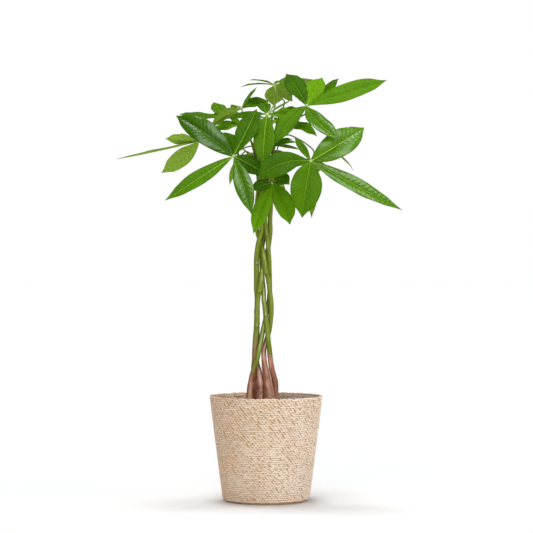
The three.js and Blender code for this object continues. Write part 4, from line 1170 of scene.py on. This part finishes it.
class MONEYTREE_OT_trunks(bpy.types.Operator):
    """Grows the five braided trunks, with their wrinkled feet, knots and scars"""
    bl_idname = "moneytree.trunks"
    bl_label = "Trunks"
    sides = 28
    plain_end = 8  # mm over which the bark's relief fades out at a trunk's ends

    def execute(self, context):
        settings = context.scene.moneytree_trunks
        bark = bark_material(settings)
        for number, trunk in enumerate(TRUNKS):
            piece = self.grow(trunk, number, settings, bark)
            place_on_tree(piece, "trunk", trunk["name"])
        return {"FINISHED"}

    def grow(self, trunk, number, settings, bark):
        x, y, z, radius = np.array(trunk_places(trunk), float).T
        rings = round((z[-1] - z[0]) * MM / settings.ring_step)
        heights = np.linspace(z[0], z[-1], rings + 1)
        # The rounded tip and foot keep their own rings.
        heights = np.unique(np.concatenate([heights, z[:2], z[-2:], [z[-1] - 1.5, z[-1] - 0.6]]))
        centre_x, centre_y = eased(heights, z, x), eased(heights, z, y)
        size = np.interp(heights, z, radius) + settings.bark / MM
        # The faint knots of old leaf scars, every few centimetres.
        chance = random.Random(40 + number)
        scars = list(trunk["scars"])
        height = 190 + chance.uniform(0, 20)
        while height < trunk["top"] - 10:
            scars.append((height, chance.uniform(0, 360), chance.uniform(1.2, 2.2), "bud"))
            height += chance.uniform(30, 60)
        points, ages, marks, places = [], [], [], []
        for ring, level in enumerate(heights):
            for side in range(self.sides):
                angle = 2 * math.pi * side / self.sides
                out = Vector((math.cos(angle), math.sin(angle), 0))
                spot = Vector((out.x * 5, out.y * 5, level * 0.12)) + Vector((number * 31, 0, 0))
                old = eased_share(trunk["old"] + trunk["turn"] / 2 - level, trunk["turn"])
                grain = noise.noise(Vector((out.x * 4, out.y * 4, level * 0.035 + number * 9)))
                lumps = noise.noise(spot)
                swell = (0.35 + old) * settings.wrinkle / MM * (grain * 1.1 + lumps * 0.9)
                mark = 0.0
                for at, round_from_front, width, kind in scars:
                    rise = (level - at) / width
                    if abs(rise) > 4:
                        continue
                    turn = math.radians(round_from_front - 90) - angle
                    aside = (1 - math.cos(turn)) * 4
                    if kind == "ring":
                        swell += 0.45 * math.exp(-(rise * 1.3) ** 2)
                        swell -= 0.3 * math.exp(-((rise - 0.9) * 1.8) ** 2)
                        mark = max(mark, 0.4 * math.exp(-((rise - 0.9) * 1.6) ** 2))
                    elif kind == "bud":
                        swell += 0.5 * math.exp(-rise ** 2 - aside ** 2)
                        mark = max(mark, 0.2 * math.exp(-(rise * 1.9) ** 2 - (aside * 2.2) ** 2))
                    elif kind == "knot":
                        swell += 1.3 * math.exp(-rise ** 2 - aside ** 2)
                        swell -= 0.5 * math.exp(-(rise * 3) ** 2 - (aside * 4) ** 2)
                        mark = max(mark, 0.75 * math.exp(-(rise * 1.9) ** 2 - (aside * 2.2) ** 2))
                    else:
                        swell -= 0.4 * math.exp(-rise ** 2 - (aside * 2.5) ** 2)
                        mark = max(mark, 0.45 * math.exp(-(rise * 1.2) ** 2 - (aside * 3) ** 2))
                from_end = min(level - heights[0], heights[-1] - level)
                reach = size[ring] + swell * min(1.0, from_end / self.plain_end)
                place = (centre_x[ring] + out.x * reach, centre_y[ring] + out.y * reach, level)
                points.append(Vector(place) * MM)
                ages.append(min(1.0, max(0.0, old + lumps * 0.15)))
                marks.append(min(1.0, mark))
                # Each trunk takes its bark from another stretch of the pattern.
                places.append(Vector((out.x * size[ring], out.y * size[ring], level + number * 200)) * MM)
        skin = Skin("bark_age", "scar", "bark_place")
        faces = loft_faces(len(heights), self.sides)
        skin.add(points, faces, bark_age=ages, scar=marks, bark_place=places)
        return skin.piece(trunk["name"] + "_bark", [bark])


# ---- Leaves ----------------------------------------------------------------------------------------------
STALK, UPPER, UNDER, WAXY = 0, 1, 2, 3  # material slots
# Where the columns of a blade's mesh lie in each half of it, from the midrib at 0 to the margin at 1.
HALF_COLUMNS = (0.035, 0.1, 0.2, 0.33, 0.47, 0.61, 0.75, 0.87, 0.95, 1.0)
COLUMNS = (*(-part for part in reversed(HALF_COLUMNS)), 0.0, *HALF_COLUMNS)


def blade_width(along, belly, full):
    """A leaflet's half width along its length, as a share of its widest: a slim root and a drawn-out tip."""
    body = max(0.0, math.sin(math.pi * along ** belly)) ** full
    return body * (1 - 0.45 * eased_share(along - 0.8, 0.2))


class MONEYTREE_OT_leaves(bpy.types.Operator):
    """Grows the palmate leaves, each with its stalk, hub and leaflets"""
    bl_idname = "moneytree.leaves"
    bl_label = "Leaves"
    station_step = 1.6  # mm between two cross-sections of a blade
    dry_tips = 0.22  # the chance that a leaflet has a dried tip

    def execute(self, context):
        settings = context.scene.moneytree_leaves
        materials = [
            stalk_material(settings),
            blade_material(settings, "leaf upper side", True, 0.5, 0.02),
            blade_material(settings, "leaf underside", False, 0.6, 0.03),
            blade_material(settings, "waxy young leaf", True, 0.28, 0.13),
        ]
        for number, leaf in enumerate(LEAVES):
            skin = Skin("leaf_tone", "rib_tone", "vein", "rib", "margin", "dry")
            hub = Vector(leaf["hub"])
            facing = Vector(leaf["facing"]).normalized()
            self.stalk(skin, leaf, hub, settings)
            self.hub(skin, hub, facing, settings)
            for order, leaflet in enumerate(leaf["leaflets"]):
                self.leaflet(skin, hub, facing, leaflet, settings, random.Random(100 * number + order))
            place_on_tree(skin.piece(leaf["name"] + "_blades", materials), "leaf", leaf["name"])
        return {"FINISHED"}

    def stalk(self, skin, leaf, hub, settings):
        start = trunk_centre(TRUNKS[leaf["trunk"]], leaf["height"])
        path = smooth_path([start, *(Vector(place) for place in leaf["route"]), hub], 3.0)
        sides, last = 12, len(path) - 1
        normal = (path[1] - path[0]).orthogonal().normalized()
        points, pale, grown = [], [], []
        for i, centre in enumerate(path):
            forward = (path[min(i + 1, last)] - path[max(i - 1, 0)]).normalized()
            normal = (normal - forward * normal.dot(forward)).normalized()
            aside = forward.cross(normal)
            along = i / last
            taper = settings.neck_radius - settings.stalk_radius
            radius = settings.stalk_radius + taper * min(1.0, 3 * along)
            radius += 0.5 * MM * math.exp(-((1 - along) * 14) ** 2) + 0.9 * MM * math.exp(-(along * 9) ** 2)
            for side in range(sides):
                angle = 2 * math.pi * side / sides
                points.append(centre * MM + (normal * math.cos(angle) + aside * math.sin(angle)) * radius)
                pale.append(0.8 * max(0.0, 1 - (1 - along) * 5) ** 2)
                grown.append(along)
        skin.add(points, loft_faces(len(path), sides), STALK, rib=pale, leaf_tone=grown)

    def hub(self, skin, hub, facing, settings):
        aside = facing.orthogonal().normalized()
        ahead = facing.cross(aside)
        sides, rings = 14, 9
        points = []
        for ring in range(rings):
            tilt = math.pi * (ring + 0.5) / rings - math.pi / 2
            for side in range(sides):
                angle = 2 * math.pi * side / sides
                flat = (aside * math.cos(angle) + ahead * math.sin(angle)) * math.cos(tilt)
                points.append(hub * MM + (flat + facing * math.sin(tilt) * 0.8) * settings.hub_radius)
        skin.add(points, loft_faces(rings, sides), STALK, rib=0.75, leaf_tone=1.0)

    def leaflet(self, skin, hub, facing, leaflet, settings, chance):
        """One leaflet as a closed blade: a grid of stations along its rib by columns across it, on both
        sides."""
        tip, width, roll = leaflet["tip"], leaflet["width"], math.radians(leaflet["roll"])
        length = (tip - hub).length
        chord = (tip - hub) / length
        upper = (facing - chord * facing.dot(chord)).normalized()
        upper = upper * math.cos(roll) + chord.cross(upper) * math.sin(roll)
        sideways = upper.cross(chord)
        middle = (hub + tip) / 2 + (upper * leaflet["arch"] + sideways * leaflet["bow"]) * (2 * length)
        stations = max(24, round(length / self.station_step))
        # How often the margin waves along each half, where the wave starts, and how strong it is.
        waves = [
            (chance.uniform(1.5, 3.2), chance.uniform(0, TURN), chance.uniform(0.5, 1.0)) for _ in (0, 1)]
        ripple = chance.uniform(0, TURN)
        dried = chance.random() < self.dry_tips
        offset = chance.uniform(0, 1)
        above, below = [], []
        values = {"vein": [], "rib": [], "margin": [], "dry": []}
        thick = settings.thickness / MM / 2
        for station in range(stations + 1):
            t = station / stations
            centre = hub * (1 - t) ** 2 + middle * (2 * t * (1 - t)) + tip * t ** 2
            forward = ((middle - hub) * (1 - t) + (tip - middle) * t).normalized()
            side = upper.cross(forward).normalized()
            up = forward.cross(side)
            distance = t * length
            half = max(width * blade_width(t, leaflet["belly"], leaflet["full"]) / 2,
                       1.15 * math.exp(-distance / 9), 0.16)
            root = math.exp(-(distance / 5) ** 2)
            rib_half = 0.95 * (1 - 0.65 * t) + 0.35 * root
            for column in COLUMNS:
                out = abs(column)
                across = out * half
                # Lifted from the midrib, crowned between midrib and margin, and rippled at the margin.
                lift = across * math.tan(settings.fold) * (1 - 0.4 * out)
                crown = 0.07 * half * math.sin(math.pi * out)
                speed, start, strength = waves[column > 0]
                wave = (0.045 * width * strength * math.sin(speed * TURN * t + start) * out ** 2
                        * min(1.0, 4 * t, 4 * (1 - t)))
                flutter = (0.12 * math.sin(distance / 5.5 + ripple + column * 2) * out ** 4
                           * min(1.0, half / 8))
                vein = (distance - 0.62 * across - 0.012 * across ** 2) * MM / settings.vein_spacing + offset
                puff = abs(math.sin(math.pi * vein)) ** 0.8 * math.sin(math.pi * min(1.0, out * 1.05)) ** 0.7
                quilt = settings.quilting / MM * puff * min(1.0, half / 9) * (1 - root)
                height = (lift + crown + wave + flutter + quilt) * (1 - root)
                groove = math.exp(-(across / (rib_half * 1.3)) ** 2)
                body = thick * (1 - 0.4 * out) + 0.95 * root * (1 - out ** 2) ** 0.5
                place = centre + side * (column * half * math.cos(settings.fold)) + up * height
                edge = out == 1.0
                above.append((place + (up * (body - 0.3 * groove * (1 - root)) if not edge else up * 0)) * MM)
                if not edge:
                    below.append((place - up * (body + 0.6 * groove * (1 - 0.6 * t))) * MM)
                values["vein"].append(vein)
                values["rib"].append(across / rib_half)
                values["margin"].append(out)
                tip_dry = max(0.0, (t - 0.955) / 0.045) if dried else 0.0
                values["dry"].append(min(0.9, tip_dry))
        count = len(COLUMNS)
        inner = count - 2
        total = count * (stations + 1)

        def top(station, column):
            return station * count + column

        def bottom(station, column):
            if column in (0, count - 1):
                return top(station, column)
            return total + station * inner + column - 1
        faces, slots = [], []
        skin_kind = WAXY if leaflet["waxy"] else UPPER
        for i in range(stations):
            for j in range(count - 1):
                faces.append((top(i, j), top(i + 1, j), top(i + 1, j + 1), top(i, j + 1)))
                faces.append((bottom(i, j), bottom(i, j + 1), bottom(i + 1, j + 1), bottom(i + 1, j)))
                slots += [skin_kind, UNDER]
        for i in (0, stations):
            ring = [top(i, j) for j in range(count)] + [bottom(i, j) for j in range(count - 2, 0, -1)]
            faces.append(tuple(ring if i == 0 else reversed(ring)))
            slots.append(skin_kind)
        for name, column in values.items():
            column.extend([column[i] for i in range(total) if i % count not in (0, count - 1)])
        skin.add(above + below, faces, slots, leaf_tone=leaflet["tone"], rib_tone=leaflet["rib"],
                 **values)


# ---- Stage -----------------------------------------------------------------------------------------------
class MONEYTREE_OT_stage(bpy.types.Operator):
    """Sets up the white floor, the soft studio light and the camera"""
    bl_idname = "moneytree.stage"
    bl_label = "Stage"

    def execute(self, context):
        stage = context.scene.moneytree_stage
        self.floor(stage)
        self.surround(context.scene, stage)
        self.lamp(context, "key light", stage.key, spread=17, source=(-0.03, 0.07, 0.99))
        self.lamp(context, "side light", stage.side, spread=36, source=(0.88, -0.45, 0.12), colour="#fffaf2")
        self.lamp(context, "front light", stage.front, spread=60, source=(-0.1, -0.95, 0.3))
        gleam = self.lamp(context, "gleam", stage.gleam, spread=54, source=(0.1, -0.78, 0.62))
        gleam.visible_diffuse = False
        lens = bpy.data.cameras.new("camera")
        lens.lens, lens.sensor_width, lens.clip_end = stage.lens, 36.0, 300.0
        camera = bpy.data.objects.new("camera", lens)
        camera.location = (stage.camera_shift, -stage.camera_distance, stage.camera_height)
        camera.rotation_euler = (math.pi / 2 + stage.camera_tilt, 0.0, 0.0)
        context.scene.collection.objects.link(camera)
        context.scene.camera = camera
        context.scene.view_settings.view_transform = "Standard"
        return {"FINISHED"}

    def lamp(self, context, name, strength, spread, source, colour="#ffffff"):
        """A lamp that shines evenly from the way of source, and looks as broad as spread, in degrees."""
        light = bpy.data.lights.new(name, "SUN")
        light.energy, light.angle, light.color = strength, math.radians(spread), srgb(colour)[:3]
        lamp = bpy.data.objects.new(name, light)
        lamp.rotation_euler = Vector(source).to_track_quat("Z", "Y").to_euler()
        context.scene.collection.objects.link(lamp)
        return lamp

    def floor(self, stage):
        """A white paper floor that is lit evenly enough to leave only the basket's soft shadow."""
        material, tree = new_material("white studio paper")
        white = srgb("#f4f4f4")
        grain = add_node(tree, "ShaderNodeTexNoise", {"Scale": 1 / (2 * MM)})
        colour = add_node(tree, "ShaderNodeMix", {0: grain, 6: white, 7: srgb("#f8f8f8")}, data_type="RGBA")
        finish_material(
            tree, colour, 0.9, Specular_IOR_Level=0.0, Emission_Color=white,
            Emission_Strength=stage.floor_glow)
        radii = (0, 0.5, 2.0, 8.0, 60.0)
        thickness = 2 * MM
        profile = [(radius, -thickness) for radius in radii] + [(radius, 0.0) for radius in reversed(radii)]
        mesh = turned_mesh("studio_floor", profile, 96)
        mesh.shade_flat()
        mesh.materials.append(material)
        floor = link_piece("studio_floor", mesh)
        floor.visible_glossy = False

    def surround(self, scene, stage):
        """Soft light from all around, behind which the camera sees plain white."""
        world = bpy.data.worlds.new("white surround")
        world.use_nodes = True
        tree = world.node_tree
        tree.nodes.clear()
        ray = add_node(tree, "ShaderNodeLightPath")
        seen = add_node(tree, "ShaderNodeBackground", {"Color": srgb("#ffffff"), "Strength": 1.0})
        soft = add_node(tree, "ShaderNodeBackground", {"Color": srgb("#f6f9ff"), "Strength": stage.fill})
        dim = add_node(tree, "ShaderNodeBackground", {"Color": srgb("#f6f9ff"), "Strength": stage.mirrored})
        lit = add_node(tree, "ShaderNodeMixShader", {0: ray.outputs["Is Glossy Ray"], 1: soft, 2: dim})
        both = add_node(tree, "ShaderNodeMixShader", {0: ray.outputs["Is Camera Ray"], 1: lit, 2: seen})
        add_node(tree, "ShaderNodeOutputWorld", {"Surface": both})
        scene.world = world


# ---- Panel and registration ------------------------------------------------------------------------------
SETTINGS = {
    "moneytree_basket": BasketSettings, "moneytree_pot": PotSettings, "moneytree_trunks": TrunkSettings,
    "moneytree_leaves": LeafSettings, "moneytree_stage": StageSettings,
}
OPERATORS = (
    MONEYTREE_OT_stage, MONEYTREE_OT_basket, MONEYTREE_OT_liner, MONEYTREE_OT_nursery_pot, MONEYTREE_OT_soil,
    MONEYTREE_OT_trunks, MONEYTREE_OT_leaves,
)


class MONEYTREE_PT_panel(bpy.types.Panel):
    """Lists the pieces of the money tree and their settings"""
    bl_idname = "MONEYTREE_PT_panel"
    bl_label = "Money tree"
    bl_space_type = "VIEW_3D"
    bl_region_type = "UI"
    bl_category = "Money tree"

    def draw(self, context):
        for operator in OPERATORS:
            self.layout.operator(operator.bl_idname)
        for group in SETTINGS:
            settings = getattr(context.scene, group)
            box = self.layout.box()
            for name in settings.bl_rna.properties.keys():
                if name not in ("rna_type", "name"):
                    box.prop(settings, name)


def register():
    for group, kind in SETTINGS.items():
        bpy.utils.register_class(kind)
        setattr(bpy.types.Scene, group, PointerProperty(type=kind))
    for kind in (*OPERATORS, MONEYTREE_PT_panel):
        bpy.utils.register_class(kind)


def unregister():
    for kind in (MONEYTREE_PT_panel, *reversed(OPERATORS)):
        bpy.utils.unregister_class(kind)
    for group, kind in SETTINGS.items():
        delattr(bpy.types.Scene, group)
        bpy.utils.unregister_class(kind)


def main():
    register()
    bpy.ops.moneytree.stage()
    bpy.ops.moneytree.basket()
    bpy.ops.moneytree.liner()
    bpy.ops.moneytree.nursery_pot()
    bpy.ops.moneytree.soil()
    bpy.ops.moneytree.trunks()
    bpy.ops.moneytree.leaves()


if __name__ == "__main__":
    main()
